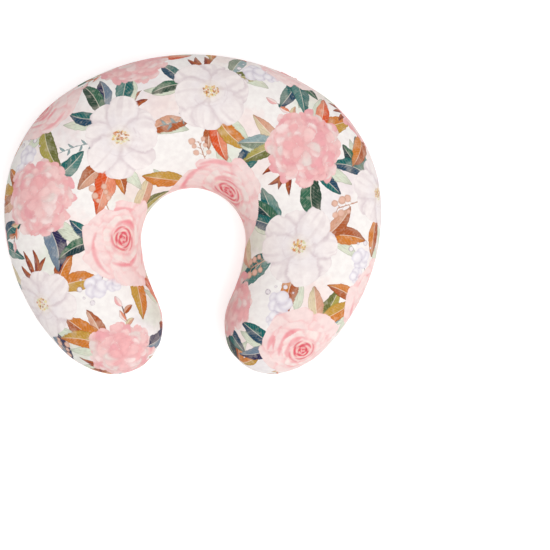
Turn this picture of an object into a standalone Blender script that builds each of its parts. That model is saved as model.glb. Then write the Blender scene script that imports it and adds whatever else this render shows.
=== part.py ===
"""Nursing pillow: a horseshoe cushion in a zipped two-panel cover.

Metres, +Z up. The pillow lies on its underside at z = 0, its rounded back towards +Y and its two
lobes towards -Y, with the origin at the bottom centre of its box.

Every layer of cloth is the same stuffed form at its own depth below the outer face of the cover.
The form is made of ribs: each rib rises from a foot on the plan outline, along a quarter ellipse,
to the crest line that runs down the middle of the horseshoe. Below the widest line the same ribs
run under the pillow to the flat that it rests on. Half of each layer is built and then mirrored.
"""
import math
from collections import namedtuple

import bmesh
import bpy
import numpy as np
from mathutils import Matrix, Vector

MM = 0.001

# Plan outline, right half, clockwise from the middle of the back: (radius, turn in degrees).
# A negative turn bends to the right. The waist arc's radius is worked out so that the outline closes.
BACK = (0.320, -34.0)
SHOULDER = (0.198, -54.0)
FLANK = (0.279, -47.0)
LOWER_FLANK = (0.116, -35.0)
LOBE_TIP = (0.066, -87.0)
INNER_LOBE = (0.084, -39.0)
WAIST_TURN = 20.0
HOLLOW = (0.075, 96.0)
BACK_Y = 0.2261

# Crest line: its distance from the outer outline, at fractions of the way from back to lobe tip.
CREST_OFFSETS = ((0.0, 0.096), (0.27, 0.096), (0.42, 0.1015), (0.70, 0.0915), (0.90, 0.0785), (1.0, 0.066))
# Height of the widest line above the floor, which is also the height of the crest above it.
HALF_HEIGHTS = ((0.0, 0.0725), (0.30, 0.0725), (1.0, 0.0590))
REST_LATITUDE = -70.0

# Depths below the outer face of the cover
COVER_CLOTH = 1.0 * MM
ALLOWANCE_DEPTH = 1.3 * MM
ALLOWANCE_CLOTH = 1.0 * MM
LABEL_DEPTH = 2.7 * MM
LABEL_CLOTH = 0.3 * MM
CASING_DEPTH = 3.4 * MM
CASING_CLOTH = 0.6 * MM
CASING_ALLOWANCE_DEPTH = 4.3 * MM
CASING_ALLOWANCE_CLOTH = 0.6 * MM
FILL_DEPTH = 5.3 * MM

# Seam between the top and bottom panels, and the rows of each layer, in degrees above the widest line
SEAM_LATITUDE = -8.5
SEAM_HALF_GAP = 0.15
TOP_ROWS = (2.0, 16.0, 36.0, 62.0, 90.0)
BOTTOM_ROWS = (-19.0, -34.0, -52.0, REST_LATITUDE, -90.0)
ALLOWANCE_TOP_ROW = 2.0

# Zip along the back, measured as bearings in degrees from the middle of the back
SLOT_END = 29.0
SLOT_CLOSE = 1.4
SLOT_HALF = 4.5
TAPE_END = 30.6
COIL_END = 28.0
TAPE_DEPTH = 1.5 * MM
TAPE_CLOTH = 0.45 * MM
TAPE_EDGE = 0.5 * MM
COIL_RADIUS = 0.6 * MM
COIL_OFFSET = 1.05 * MM
STOP_BEARING = 28.35
STOP_LENGTH = 2.2 * MM
STOP_NEAR = 0.5 * MM
STOP_FAR = 1.9 * MM
STOP_BACK = -1.2 * MM
TOP_STOP_FACE = 0.2 * MM
BOTTOM_STOP_FACE = 0.3 * MM
SLIDER_REST = 26.9
STITCH_RADIUS = 0.25 * MM
STITCH_GAP = 0.3 * MM
TOPSTITCH_LIFT = 0.65 * MM
TOPSTITCH_INSET = 1.8
TACK_BEARING = 31.6
TACK_HALF_LENGTH = 1.0 * MM
TACK_HALF_HEIGHT = 4.0 * MM
TACK_FACES = (0.3 * MM, 0.8 * MM)

# Slider, in its own frame: X along the zip, Y across it, Z outwards from the cover's outer face
PLATE_LENGTH = 9.5 * MM
PLATE_WIDTH = 8.0 * MM
TOP_PLATE = (0.35 * MM, 1.2 * MM)
UNDER_PLATE = (-3.05 * MM, -2.45 * MM)
POST_WIDTH = 0.4 * MM
POST_LENGTH = 2.4 * MM
FLANGE = 0.7 * MM
FLANGE_DROP = 0.9 * MM
BRIDGE_WIDTH = 1.4 * MM
BRIDGE_LEG = 0.9 * MM
BRIDGE_SPAN = 3.2 * MM
BRIDGE_CLEAR = 2.4 * MM
BRIDGE_THICK = 0.8 * MM
OVERRUN = 0.2 * MM

# Pull tab: a flat plate with a window whose end bar hangs in the slider's bridge
PULL_AXIS_LIFT = 2.35 * MM
PULL_THICK = 1.0 * MM
PULL_BAR = 0.55 * MM
PULL_WINDOW = 6.0 * MM
PULL_WINDOW_HALF = 1.2 * MM
PULL_HALF_WIDTH = 2.6 * MM
PULL_LENGTH = 23.0 * MM
PULL_CORNER = 0.6 * MM

# Ribs of the layers: the cover follows the zip slot closely, the inner layers need fewer ribs
ALLOWANCE_START = 32.6
ZIP_STATIONS = (0.0, 4.8, 9.6, 14.4, 19.2, 24.0, SLOT_END, SLOT_END + SLOT_CLOSE, ALLOWANCE_START)
PLAIN_STATIONS = (0.0, 8.0, 16.0, 24.0)
ARM_STATIONS = (0.32, 0.38, 0.44, 0.50, 0.56, 0.62, 0.68, 0.74, 0.80, 0.86, 0.91, 0.95, 0.98, 1.0)
TIP_RIBS = 5
CARE_LABEL = (0.56, 0.62)
CARE_LABEL_ROWS = (-7.0, 2.0, 12.0)
CASING_LABEL = (0.74, 0.80)
CASING_LABEL_ROWS = (-7.0, 2.0, 16.0)
CLOSING_STATIONS = (0.50, 0.56, 0.62, 0.68)

COLOURS = {
    "floral_jersey": ((0.92, 0.82, 0.80), 0.85, 0.0),
    "pink_velour": ((0.90, 0.62, 0.58), 0.9, 0.0),
    "white_cotton": ((0.88, 0.87, 0.84), 0.9, 0.0),
    "fibre": ((0.93, 0.93, 0.92), 0.95, 0.0),
    "zip_tape": ((0.90, 0.66, 0.63), 0.85, 0.0),
    "zip_coil": ((0.90, 0.68, 0.65), 0.4, 0.0),
    "slider_enamel": ((0.90, 0.74, 0.71), 0.35, 0.0),
    "thread": ((0.93, 0.80, 0.78), 0.7, 0.0),
    "label": ((0.95, 0.95, 0.94), 0.6, 0.0),
}

Rib = namedtuple("Rib", "foot spine half_height station bearing")


# ---------------------------------------------------------------- plan outline

def arc_step(heading, turn):
    """Displacement of a unit-radius arc that starts at a heading and turns, both in radians."""
    side = math.copysign(1.0, turn)
    end = heading + turn
    return side * (math.sin(end) - math.sin(heading)), side * (math.cos(heading) - math.cos(end))


def outline_arcs():
    """The right half's arcs, with the waist radius that brings the outline back to x = 0."""
    arcs = [BACK, SHOULDER, FLANK, LOWER_FLANK, LOBE_TIP, INNER_LOBE, (None, WAIST_TURN), HOLLOW]
    heading = 0.0
    reach = 0.0
    waist_step = 0.0
    for radius, turn in arcs:
        step_x = arc_step(heading, math.radians(turn))[0]
        if radius is None:
            waist_step = step_x
        else:
            reach += radius * step_x
        heading += math.radians(turn)
    waist_radius = -reach / waist_step
    return [(waist_radius if radius is None else radius, math.radians(turn)) for radius, turn in arcs]


ARCS = outline_arcs()
ARC_ENDS = np.cumsum([radius * abs(turn) for radius, turn in ARCS])
TIP_START = ARC_ENDS[3]
TIP_END = ARC_ENDS[4]
OUTLINE_END = ARC_ENDS[-1]


def outline(length):
    """Point on the outline and its inward normal, at a length along it from the middle of the back."""
    x, y, heading = 0.0, BACK_Y, 0.0
    for radius, turn in ARCS:
        run = radius * abs(turn)
        part = turn * min(max(length / run, 0.0), 1.0)
        step_x, step_y = arc_step(heading, part)
        if length <= run or (radius, turn) == ARCS[-1]:
            x, y, heading = x + radius * step_x, y + radius * step_y, heading + part
            break
        x, y, heading = x + radius * step_x, y + radius * step_y, heading + turn
        length -= run
    return np.array([x, y]), np.array([math.sin(heading), -math.cos(heading)])


def through(knots, at):
    """Smooth curve through (place, value) knots, level at the first one."""
    places = [place for place, value in knots]
    values = [value for place, value in knots]
    slopes = list(np.gradient(values, places))
    slopes[0] = 0.0
    if values[1] == values[0]:
        slopes[1] = 0.0
    index = min(max(int(np.searchsorted(places, at, side="right")) - 1, 0), len(knots) - 2)
    width = places[index + 1] - places[index]
    t = (at - places[index]) / width
    start = (1 + 2 * t) * (1 - t) ** 2 * values[index] + t * (1 - t) ** 2 * width * slopes[index]
    end = t * t * (3 - 2 * t) * values[index + 1] + t * t * (t - 1) * width * slopes[index + 1]
    return start + end


# ---------------------------------------------------------------- the stuffed form

INNER_LENGTHS = np.linspace(TIP_END, OUTLINE_END, 2001)
INNER_POINTS = np.array([outline(length)[0] for length in INNER_LENGTHS])


def ribs(fractions, outer_from=0.0):
    """Ribs of the right half: down the outer side, round the lobe tip and back up the inner side."""
    outer = []
    inner = []
    for station, fraction in enumerate(fractions):
        foot, inward = outline(fraction * TIP_START)
        spine = foot + inward * through(CREST_OFFSETS, fraction)
        height = through(HALF_HEIGHTS, fraction)
        bearing = math.degrees(fraction * TIP_START / BACK[0])
        if fraction >= outer_from:
            outer.append(Rib(foot, spine, height, station, bearing))
        near = int(np.argmin(np.hypot(*(INNER_POINTS - spine).T)))
        inner.append(Rib(INNER_POINTS[near], spine, height, station, None))
    last = outer[-1]
    inner[-1] = Rib(outline(TIP_END)[0], last.spine, last.half_height, last.station, None)
    inner[0] = Rib(outline(OUTLINE_END)[0], inner[0].spine, inner[0].half_height, 0, None)
    tip = []
    for step in range(1, TIP_RIBS + 1):
        foot = outline(TIP_START + (TIP_END - TIP_START) * step / (TIP_RIBS + 1))[0]
        tip.append(Rib(foot, last.spine, last.half_height, last.station, None))
    return outer + tip + inner[::-1]


def bearing_fraction(bearing):
    """Fraction of the way from back to lobe tip at a bearing on the back arc."""
    return math.radians(bearing) * BACK[0] / TIP_START


def form_point(rib, latitude, depth):
    """Point of the form on one rib, at a latitude in degrees and a depth below the cover's face."""
    way = rib.spine - rib.foot
    reach = np.hypot(*way)
    angle = math.radians(latitude)
    run = depth + (reach - depth) * (1.0 - math.cos(angle))
    plan = rib.foot + way / reach * run
    if latitude >= 0.0:
        height = rib.half_height + (rib.half_height - depth) * math.sin(angle)
    else:
        under = rib.half_height / math.sin(math.radians(-REST_LATITUDE))
        height = max(depth, rib.half_height + (under - depth) * math.sin(angle))
    return Vector((plan[0], plan[1], height))


def layer_mesh(name, rib_list, rows, depth):
    """Half of one layer as a grid; rows(rib) gives the latitudes, and a 90 degree row is the crest."""
    points = []
    faces = []
    crest = {}
    columns = []
    for rib in rib_list:
        column = []
        for latitude in rows(rib):
            if abs(latitude) < 90.0:
                column.append(len(points))
                points.append(form_point(rib, latitude, depth))
                continue
            key = (rib.station, latitude)
            if key not in crest:
                crest[key] = len(points)
                points.append(form_point(rib, latitude, depth))
            column.append(crest[key])
        columns.append(column)
    rising = rows(rib_list[0])[1] > rows(rib_list[0])[0]
    for left, right in zip(columns[:-1], columns[1:]):
        for low in range(len(left) - 1):
            corners = [left[low], left[low + 1], right[low + 1], right[low]]
            if not rising:
                corners.reverse()
            faces.append([corner for index, corner in enumerate(corners) if corner not in corners[:index]])
    mesh = bpy.data.meshes.new(name)
    mesh.from_pydata(points, [], faces)
    mesh.update()
    return mesh


# ---------------------------------------------------------------- scene helpers

def clear_scene():
    for item in list(bpy.data.objects):
        bpy.data.objects.remove(item, do_unlink=True)


def new_collection(name):
    collection = bpy.data.collections.new(name)
    bpy.context.scene.collection.children.link(collection)
    return collection


def material(name):
    """Principled material with a slot's colour, roughness and metallic value."""
    found = bpy.data.materials.get(name)
    if found:
        return found
    colour, roughness, metallic = COLOURS[name]
    made = bpy.data.materials.new(name)
    made.use_nodes = True
    shader = made.node_tree.nodes["Principled BSDF"]
    shader.inputs["Base Color"].default_value = (*colour, 1.0)
    shader.inputs["Roughness"].default_value = roughness
    shader.inputs["Metallic"].default_value = metallic
    return made


def add_object(name, data, slot, collection):
    made = bpy.data.objects.new(name, data)
    data.materials.append(material(slot))
    collection.objects.link(made)
    return made


def mirror_x(item):
    modifier = item.modifiers.new("Mirror", "MIRROR")
    modifier.use_axis = (True, False, False)
    modifier.merge_threshold = 0.00005


def thicken(item, cloth):
    modifier = item.modifiers.new("Cloth", "SOLIDIFY")
    modifier.thickness = cloth
    modifier.offset = -1.0


def round_edges(item, width, segments=2):
    modifier = item.modifiers.new("Bevel", "BEVEL")
    modifier.width = width
    modifier.segments = segments


def add_layer(name, slot, collection, rib_list, rows, depth, cloth):
    """A mirrored layer of cloth, or a closed form when cloth is zero."""
    mesh = layer_mesh(name, rib_list, rows, depth)
    mesh.shade_smooth()
    made = add_object(name, mesh, slot, collection)
    mirror_x(made)
    if cloth > 0.0:
        thicken(made, cloth)
    return made


def add_tube(name, slot, collection, points, radius):
    """A thread or coil row: an open poly curve with a round bevel and filled caps."""
    curve = bpy.data.curves.new(name, "CURVE")
    curve.dimensions = "3D"
    curve.bevel_depth = radius
    curve.bevel_resolution = 2
    curve.use_fill_caps = True
    spline = curve.splines.new("POLY")
    spline.points.add(len(points) - 1)
    for knot, point in zip(spline.points, points):
        knot.co = (*point, 1.0)
    return add_object(name, curve, slot, collection)


def add_block(name, slot, collection, low, high):
    """A box between two corners of its own frame, from a primitive cube."""
    shape = bmesh.new()
    bmesh.ops.create_cube(shape, size=1.0)
    size = Vector(high) - Vector(low)
    middle = (Vector(high) + Vector(low)) / 2
    place = Matrix.Translation(middle) @ Matrix.Diagonal((*size, 1.0))
    bmesh.ops.transform(shape, matrix=place, verts=shape.verts)
    mesh = bpy.data.meshes.new(name)
    shape.to_mesh(mesh)
    shape.free()
    return add_object(name, mesh, slot, collection)


def join_shape(item, other):
    """Union of a helper shape into a part."""
    other.hide_render = True
    other.display_type = "WIRE"
    modifier = item.modifiers.new("Join", "BOOLEAN")
    modifier.operation = "UNION"
    modifier.solver = "EXACT"
    modifier.object = other


# ---------------------------------------------------------------- fill, casing and cover

def slot_edge(rib, side):
    """Latitude of a cover panel's edge: at the seam, or pulled back along the zip slot."""
    if rib.bearing is None or rib.bearing > SLOT_END + 0.5 * SLOT_CLOSE:
        return SEAM_LATITUDE + side * SEAM_HALF_GAP
    return SEAM_LATITUDE + side * SLOT_HALF


def add_cover(collection):
    fractions = [bearing_fraction(bearing) for bearing in ZIP_STATIONS] + list(ARM_STATIONS)
    rib_list = ribs(fractions)
    add_layer("cover_top_panel", "floral_jersey", collection, rib_list,
              lambda rib: [slot_edge(rib, 1.0), *TOP_ROWS], 0.0, COVER_CLOTH)
    add_layer("cover_bottom_panel", "pink_velour", collection, rib_list,
              lambda rib: [slot_edge(rib, -1.0), *BOTTOM_ROWS], 0.0, COVER_CLOTH)


def add_casing(collection):
    fractions = [bearing_fraction(bearing) for bearing in PLAIN_STATIONS] + list(ARM_STATIONS)
    rib_list = ribs(fractions)
    add_layer("casing_top_panel", "white_cotton", collection, rib_list,
              lambda rib: [SEAM_LATITUDE + SEAM_HALF_GAP, *TOP_ROWS], CASING_DEPTH, CASING_CLOTH)
    add_layer("casing_bottom_panel", "white_cotton", collection, rib_list,
              lambda rib: [SEAM_LATITUDE - SEAM_HALF_GAP, *BOTTOM_ROWS], CASING_DEPTH, CASING_CLOTH)
    rows = [*TOP_ROWS[::-1], SEAM_LATITUDE, *BOTTOM_ROWS]
    add_layer("fibre_fill", "fibre", collection, rib_list, lambda rib: rows, FILL_DEPTH, 0.0)
    add_layer("casing_seam_allowance", "white_cotton", collection, rib_list,
              lambda rib: [SEAM_LATITUDE, ALLOWANCE_TOP_ROW], CASING_ALLOWANCE_DEPTH, CASING_ALLOWANCE_CLOTH)


def add_cover_allowance(collection):
    """The cover's turned-in seam, from one end of the zip round both lobes to the other end."""
    fractions = [bearing_fraction(bearing) for bearing in ZIP_STATIONS] + list(ARM_STATIONS)
    rib_list = ribs(fractions, outer_from=bearing_fraction(ALLOWANCE_START))
    add_layer("cover_seam_allowance", "floral_jersey", collection, rib_list,
              lambda rib: [SEAM_LATITUDE, ALLOWANCE_TOP_ROW], ALLOWANCE_DEPTH, ALLOWANCE_CLOTH)


def patch_mesh(name, fractions, rows, depth):
    """A small piece of cloth lying on the outer side of the form, between two of the layers' ribs."""
    columns = ribs(fractions)[:len(fractions)]
    points = [form_point(rib, row, depth) for rib in columns for row in rows]
    count = len(rows)
    faces = []
    for row in range(count - 1):
        faces.append([row, row + 1, row + count + 1, row + count])
    mesh = bpy.data.meshes.new(name)
    mesh.from_pydata(points, [], faces)
    mesh.update()
    return mesh


def add_labels(collection):
    """Two blank labels: one in the cover's seam, one in the casing's seam, between the two layers."""
    places = (("cover_care_label", CARE_LABEL, CARE_LABEL_ROWS),
              ("casing_label", CASING_LABEL, CASING_LABEL_ROWS))
    for name, fractions, rows in places:
        mesh = patch_mesh(name, fractions, rows, LABEL_DEPTH)
        made = add_object(name, mesh, "label", collection)
        thicken(made, LABEL_CLOTH)


def add_closing_stitch(collection):
    """Hand-sewn closing of the casing, along the seam on the left arm."""
    depth = CASING_DEPTH - STITCH_GAP - STITCH_RADIUS
    points = []
    for rib in ribs(CLOSING_STATIONS)[:len(CLOSING_STATIONS)]:
        point = form_point(rib, SEAM_LATITUDE, depth)
        points.append((-point.x, point.y, point.z))
    add_tube("casing_closing_stitch", "thread", collection, points, STITCH_RADIUS)


# ---------------------------------------------------------------- zip

def zip_rib(bearing):
    """Rib of the back arc at any bearing, left or right."""
    rib = ribs([bearing_fraction(abs(bearing))])[0]
    flip = np.array([math.copysign(1.0, bearing), 1.0])
    return Rib(rib.foot * flip, rib.spine * flip, rib.half_height, 0, bearing)


def zip_frame():
    """Middle of the zip on the cover's face at the middle of the back, and its tilt outwards-down."""
    rib = zip_rib(0.0)
    middle = form_point(rib, SEAM_LATITUDE, 0.0)
    angle = math.radians(-SEAM_LATITUDE)
    under = rib.half_height / math.sin(math.radians(-REST_LATITUDE))
    tilt = math.atan2(math.sin(angle) / under, math.cos(angle) / CREST_OFFSETS[0][1])
    return middle, tilt


ZIP_MIDDLE, ZIP_TILT = zip_frame()
ZIP_AXIS_Y = BACK_Y - BACK[0]
ZIP_RADIUS = ZIP_MIDDLE.y - ZIP_AXIS_Y


def zip_point(bearing, across, outwards):
    """Point of the zip: a bearing, a distance up across it and a distance out of the cover's face."""
    radius = ZIP_RADIUS + across * math.sin(ZIP_TILT) + outwards * math.cos(ZIP_TILT)
    height = ZIP_MIDDLE.z + across * math.cos(ZIP_TILT) - outwards * math.sin(ZIP_TILT)
    angle = math.radians(bearing)
    return Vector((radius * math.sin(angle), ZIP_AXIS_Y + radius * math.cos(angle), height))


def zip_tilt_rotation():
    """Rotation from the zip's own frame (X along, Y up across, Z outwards) to the middle of the back."""
    along = Vector((-1.0, 0.0, 0.0))
    across = Vector((0.0, math.sin(ZIP_TILT), math.cos(ZIP_TILT)))
    return Matrix((along, across, along.cross(across))).transposed().to_euler()


def place_on_zip(item, bearing, axis_name=None):
    """Put a piece built in the zip's frame at a bearing, under an empty on the vertical travel axis."""
    if axis_name:
        pivot = bpy.data.objects.new(axis_name, None)
        pivot.location = (0.0, ZIP_AXIS_Y, ZIP_MIDDLE.z)
        pivot.rotation_euler = (0.0, 0.0, -math.radians(bearing))
        item.users_collection[0].objects.link(pivot)
        item.parent = pivot
        item.location = (0.0, ZIP_RADIUS, 0.0)
        item.rotation_euler = zip_tilt_rotation()
        return pivot
    turn = Matrix.Rotation(-math.radians(bearing), 4, "Z")
    item.location = zip_point(bearing, 0.0, 0.0)
    item.rotation_euler = (turn @ zip_tilt_rotation().to_matrix().to_4x4()).to_euler()
    return None


def add_tape(name, side, collection):
    """Woven tape behind one cover panel: straight across from the coil, then bending with the form."""
    bearings = np.linspace(0.0, TAPE_END, 16)
    outer_row = TOP_ROWS[0] if side > 0 else BOTTOM_ROWS[0]
    bend_row = SEAM_LATITUDE + side * SLOT_HALF
    points = []
    for bearing in bearings:
        rib = zip_rib(bearing)
        points.append(zip_point(bearing, side * TAPE_EDGE, -TAPE_DEPTH))
        points.append(form_point(rib, bend_row, TAPE_DEPTH))
        points.append(form_point(rib, outer_row, TAPE_DEPTH))
    faces = []
    for column in range(len(bearings) - 1):
        for row in range(2):
            start = column * 3 + row
            corners = [start, start + 1, start + 4, start + 3]
            if side < 0:
                corners.reverse()
            faces.append(corners)
    mesh = bpy.data.meshes.new(name)
    mesh.from_pydata(points, [], faces)
    mesh.update()
    made = add_object(name, mesh, "zip_tape", collection)
    mirror_x(made)
    thicken(made, TAPE_CLOTH)


def add_zip_lines(collection):
    """The two coil rows, and the topstitching that holds the panels' edges to the tapes."""
    bearings = np.linspace(-COIL_END, COIL_END, 29)
    stitch_bearings = np.linspace(-SLOT_END, SLOT_END, 25)
    for label, side in (("upper", 1.0), ("lower", -1.0)):
        coil = [zip_point(bearing, side * COIL_OFFSET, -COIL_RADIUS) for bearing in bearings]
        add_tube("zip_coil_" + label, "zip_coil", collection, coil, COIL_RADIUS)
        row = SEAM_LATITUDE + side * (SLOT_HALF + TOPSTITCH_INSET)
        thread = [form_point(zip_rib(bearing), row, -TOPSTITCH_LIFT) for bearing in stitch_bearings]
        add_tube("zip_topstitch_" + label, "thread", collection, thread, STITCH_RADIUS)


def add_zip_stops(collection):
    """Stops at the closed end, one on each tape, and one across both tapes at the open end."""
    half = STOP_LENGTH / 2
    for label, side in (("upper", 1.0), ("lower", -1.0)):
        low, high = sorted((side * STOP_NEAR, side * STOP_FAR))
        stop = add_block("zip_top_stop_" + label, "slider_enamel", collection,
                         (-half, low, STOP_BACK), (half, high, TOP_STOP_FACE))
        round_edges(stop, 0.2 * MM)
        place_on_zip(stop, STOP_BEARING)
    stop = add_block("zip_bottom_stop", "slider_enamel", collection,
                     (-half, -STOP_FAR, STOP_BACK), (half, STOP_FAR, BOTTOM_STOP_FACE))
    round_edges(stop, 0.25 * MM)
    place_on_zip(stop, -STOP_BEARING)


def add_bar_tacks(collection):
    """Dense cross stitching over the seam at each end of the slot."""
    for label, side in (("right", 1.0), ("left", -1.0)):
        tack = add_block("zip_bar_tack_" + label, "thread", collection,
                         (-TACK_HALF_LENGTH, -TACK_HALF_HEIGHT, TACK_FACES[0]),
                         (TACK_HALF_LENGTH, TACK_HALF_HEIGHT, TACK_FACES[1]))
        round_edges(tack, 0.15 * MM)
        place_on_zip(tack, side * TACK_BEARING)


def add_slider(collection, helpers):
    """Slider: two plates joined by a post between the coil rows, with flanges and a bridge.

    Each shape runs a little way into its neighbour, so that the union joins them.
    """
    half_length = PLATE_LENGTH / 2
    half_width = PLATE_WIDTH / 2
    body = add_block("zip_slider_body", "slider_enamel", collection,
                     (-half_length, -half_width, TOP_PLATE[0]), (half_length, half_width, TOP_PLATE[1]))
    bridge_foot = TOP_PLATE[1] - OVERRUN
    bridge_top = TOP_PLATE[1] + BRIDGE_CLEAR + BRIDGE_THICK
    leg = BRIDGE_SPAN / 2
    half_bridge = BRIDGE_WIDTH / 2
    shapes = [
        ((-half_length, -half_width, UNDER_PLATE[0]), (half_length, half_width, UNDER_PLATE[1])),
        ((-half_length, -POST_WIDTH / 2, UNDER_PLATE[1] - OVERRUN),
         (-half_length + POST_LENGTH, POST_WIDTH / 2, TOP_PLATE[0] + OVERRUN)),
        ((leg, -half_bridge, bridge_foot), (leg + BRIDGE_LEG, half_bridge, bridge_top)),
        ((-leg - BRIDGE_LEG, -half_bridge, bridge_foot), (-leg, half_bridge, bridge_top)),
        ((-leg - OVERRUN / 2, -half_bridge, bridge_top - BRIDGE_THICK),
         (leg + OVERRUN / 2, half_bridge, bridge_top)),
    ]
    for side in (1.0, -1.0):
        near, far = sorted((side * (half_width - FLANGE), side * half_width))
        shapes.append(((-half_length, near, TOP_PLATE[0] - FLANGE_DROP),
                       (half_length, far, TOP_PLATE[0] + OVERRUN)))
    pivot = place_on_zip(body, SLIDER_REST, "zip_travel_axis")
    for index, (low, high) in enumerate(shapes):
        shape = add_block("slider_shape_%d" % index, "slider_enamel", helpers, low, high)
        shape.parent = body
        join_shape(body, shape)
    return pivot


def add_pull(collection, pivot):
    """Pull tab on the slider: its origin is on the hinge line through the bridge."""
    curve = bpy.data.curves.new("zip_pull_tab", "CURVE")
    curve.dimensions = "2D"
    curve.fill_mode = "BOTH"
    curve.extrude = PULL_THICK / 2
    arc = [math.radians(-90.0 + 180.0 * step / 8) for step in range(9)]
    end_centre = PULL_LENGTH - PULL_HALF_WIDTH
    outer = [(end_centre + PULL_HALF_WIDTH * math.cos(a), PULL_HALF_WIDTH * math.sin(a)) for a in arc]
    outer += [(PULL_CORNER - PULL_BAR, PULL_HALF_WIDTH), (-PULL_BAR, PULL_HALF_WIDTH - PULL_CORNER),
              (-PULL_BAR, PULL_CORNER - PULL_HALF_WIDTH), (PULL_CORNER - PULL_BAR, -PULL_HALF_WIDTH)]
    window = [(PULL_BAR, -PULL_WINDOW_HALF), (PULL_WINDOW, -PULL_WINDOW_HALF),
              (PULL_WINDOW, PULL_WINDOW_HALF), (PULL_BAR, PULL_WINDOW_HALF)]
    for ring in (outer, window):
        spline = curve.splines.new("POLY")
        spline.points.add(len(ring) - 1)
        for knot, (x, y) in zip(spline.points, ring):
            knot.co = (x, y, 0.0, 1.0)
        spline.use_cyclic_u = True
    tab = add_object("zip_pull_tab", curve, "slider_enamel", collection)
    tab.parent = pivot
    lift = zip_point(0.0, 0.0, PULL_AXIS_LIFT)
    tab.location = (0.0, lift.y - ZIP_AXIS_Y, lift.z - ZIP_MIDDLE.z)
    tab.rotation_euler = zip_tilt_rotation()


def main():
    clear_scene()
    parts = new_collection("nursing_pillow")
    helpers = new_collection("slider_shapes")
    add_cover(parts)
    add_cover_allowance(parts)
    add_casing(parts)
    add_closing_stitch(parts)
    add_labels(parts)
    for label, side in (("upper", 1.0), ("lower", -1.0)):
        add_tape("zip_tape_" + label, side, parts)
    add_zip_lines(parts)
    add_zip_stops(parts)
    add_bar_tacks(parts)
    pivot = add_slider(parts, helpers)
    add_pull(parts, pivot)


main()
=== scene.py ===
"""Looks of the nursing pillow: a stuffed floral jersey top on a plain blush velour underside."""
import itertools
import math
from collections import namedtuple
from functools import lru_cache

import bmesh
import bpy
import numpy as np
from mathutils import Matrix, Vector


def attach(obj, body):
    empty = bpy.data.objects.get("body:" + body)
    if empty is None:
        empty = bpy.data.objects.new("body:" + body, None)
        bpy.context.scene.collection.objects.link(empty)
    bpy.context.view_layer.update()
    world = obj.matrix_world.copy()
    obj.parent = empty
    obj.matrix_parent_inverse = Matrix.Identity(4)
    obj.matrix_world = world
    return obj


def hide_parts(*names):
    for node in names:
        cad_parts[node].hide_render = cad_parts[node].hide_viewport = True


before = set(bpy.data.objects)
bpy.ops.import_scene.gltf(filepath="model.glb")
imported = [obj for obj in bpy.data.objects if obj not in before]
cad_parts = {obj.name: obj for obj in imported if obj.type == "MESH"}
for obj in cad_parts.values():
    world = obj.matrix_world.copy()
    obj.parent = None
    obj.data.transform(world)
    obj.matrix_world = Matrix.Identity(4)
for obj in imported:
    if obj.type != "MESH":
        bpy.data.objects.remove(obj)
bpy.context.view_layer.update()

MM = 0.001

# ---------------------------------------------------------------- driving dimensions, as in part.py

BACK = (0.320, -34.0)
SHOULDER = (0.198, -54.0)
FLANK = (0.279, -47.0)
LOWER_FLANK = (0.116, -35.0)
LOBE_TIP = (0.066, -87.0)
INNER_LOBE = (0.084, -39.0)
WAIST_TURN = 20.0
HOLLOW = (0.075, 96.0)
BACK_Y = 0.2261
CREST_OFFSETS = ((0.0, 0.096), (0.27, 0.096), (0.42, 0.1015), (0.70, 0.0915), (0.90, 0.0785), (1.0, 0.066))
HALF_HEIGHTS = ((0.0, 0.0725), (0.30, 0.0725), (1.0, 0.0590))
REST_LATITUDE = -70.0
SEAM_LATITUDE = -8.5
SLOT_END = 29.0
SLOT_CLOSE = 1.4
SLOT_HALF = 4.5

# Depths of the layers below the cover's outer face
COVER_CLOTH = 1.0 * MM
ALLOWANCE_DEPTH = 1.3 * MM
ALLOWANCE_CLOTH = 1.0 * MM
LABEL_DEPTH = 2.7 * MM
LABEL_CLOTH = 0.3 * MM
CASING_DEPTH = 3.4 * MM
CASING_CLOTH = 0.6 * MM
CASING_ALLOWANCE_DEPTH = 4.3 * MM
CASING_ALLOWANCE_CLOTH = 0.6 * MM
FILL_DEPTH = 5.3 * MM
ALLOWANCE_TOP_ROW = 2.0
ALLOWANCE_START = 32.6

# Zip along the back, in degrees of bearing from the middle of the back, and in its own frame
TAPE_END = 30.6
COIL_END = 28.0
TAPE_DEPTH = 1.5 * MM
TAPE_CLOTH = 0.45 * MM
TAPE_EDGE = 0.5 * MM
COIL_OFFSET = 1.05 * MM
STOP_BEARING = 28.35
STOP_LENGTH = 2.2 * MM
STOP_NEAR = 0.5 * MM
STOP_FAR = 1.9 * MM
STOP_BACK = -1.2 * MM
TOP_STOP_FACE = 0.2 * MM
BOTTOM_STOP_FACE = 0.3 * MM
SLIDER_REST = 26.9
TOPSTITCH_INSET = 1.8
TACK_BEARING = 31.6
TACK_HALF_HEIGHT = 4.0 * MM
PLATE_LENGTH = 9.5 * MM
PLATE_WIDTH = 8.0 * MM
TOP_PLATE = (0.35 * MM, 1.2 * MM)
UNDER_PLATE = (-3.05 * MM, -2.45 * MM)
POST_WIDTH = 0.4 * MM
POST_LENGTH = 2.4 * MM
FLANGE = 0.7 * MM
FLANGE_DROP = 0.9 * MM
BRIDGE_WIDTH = 1.4 * MM
BRIDGE_LEG = 0.9 * MM
BRIDGE_SPAN = 3.2 * MM
PULL_AXIS_LIFT = 2.35 * MM
PULL_THICK = 1.0 * MM
PULL_BAR = 0.55 * MM
PULL_WINDOW = 6.0 * MM
PULL_WINDOW_HALF = 1.2 * MM
PULL_HALF_WIDTH = 2.6 * MM
PULL_LENGTH = 23.0 * MM


# ---------------------------------------------------------------- this file's own dimensions

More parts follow.
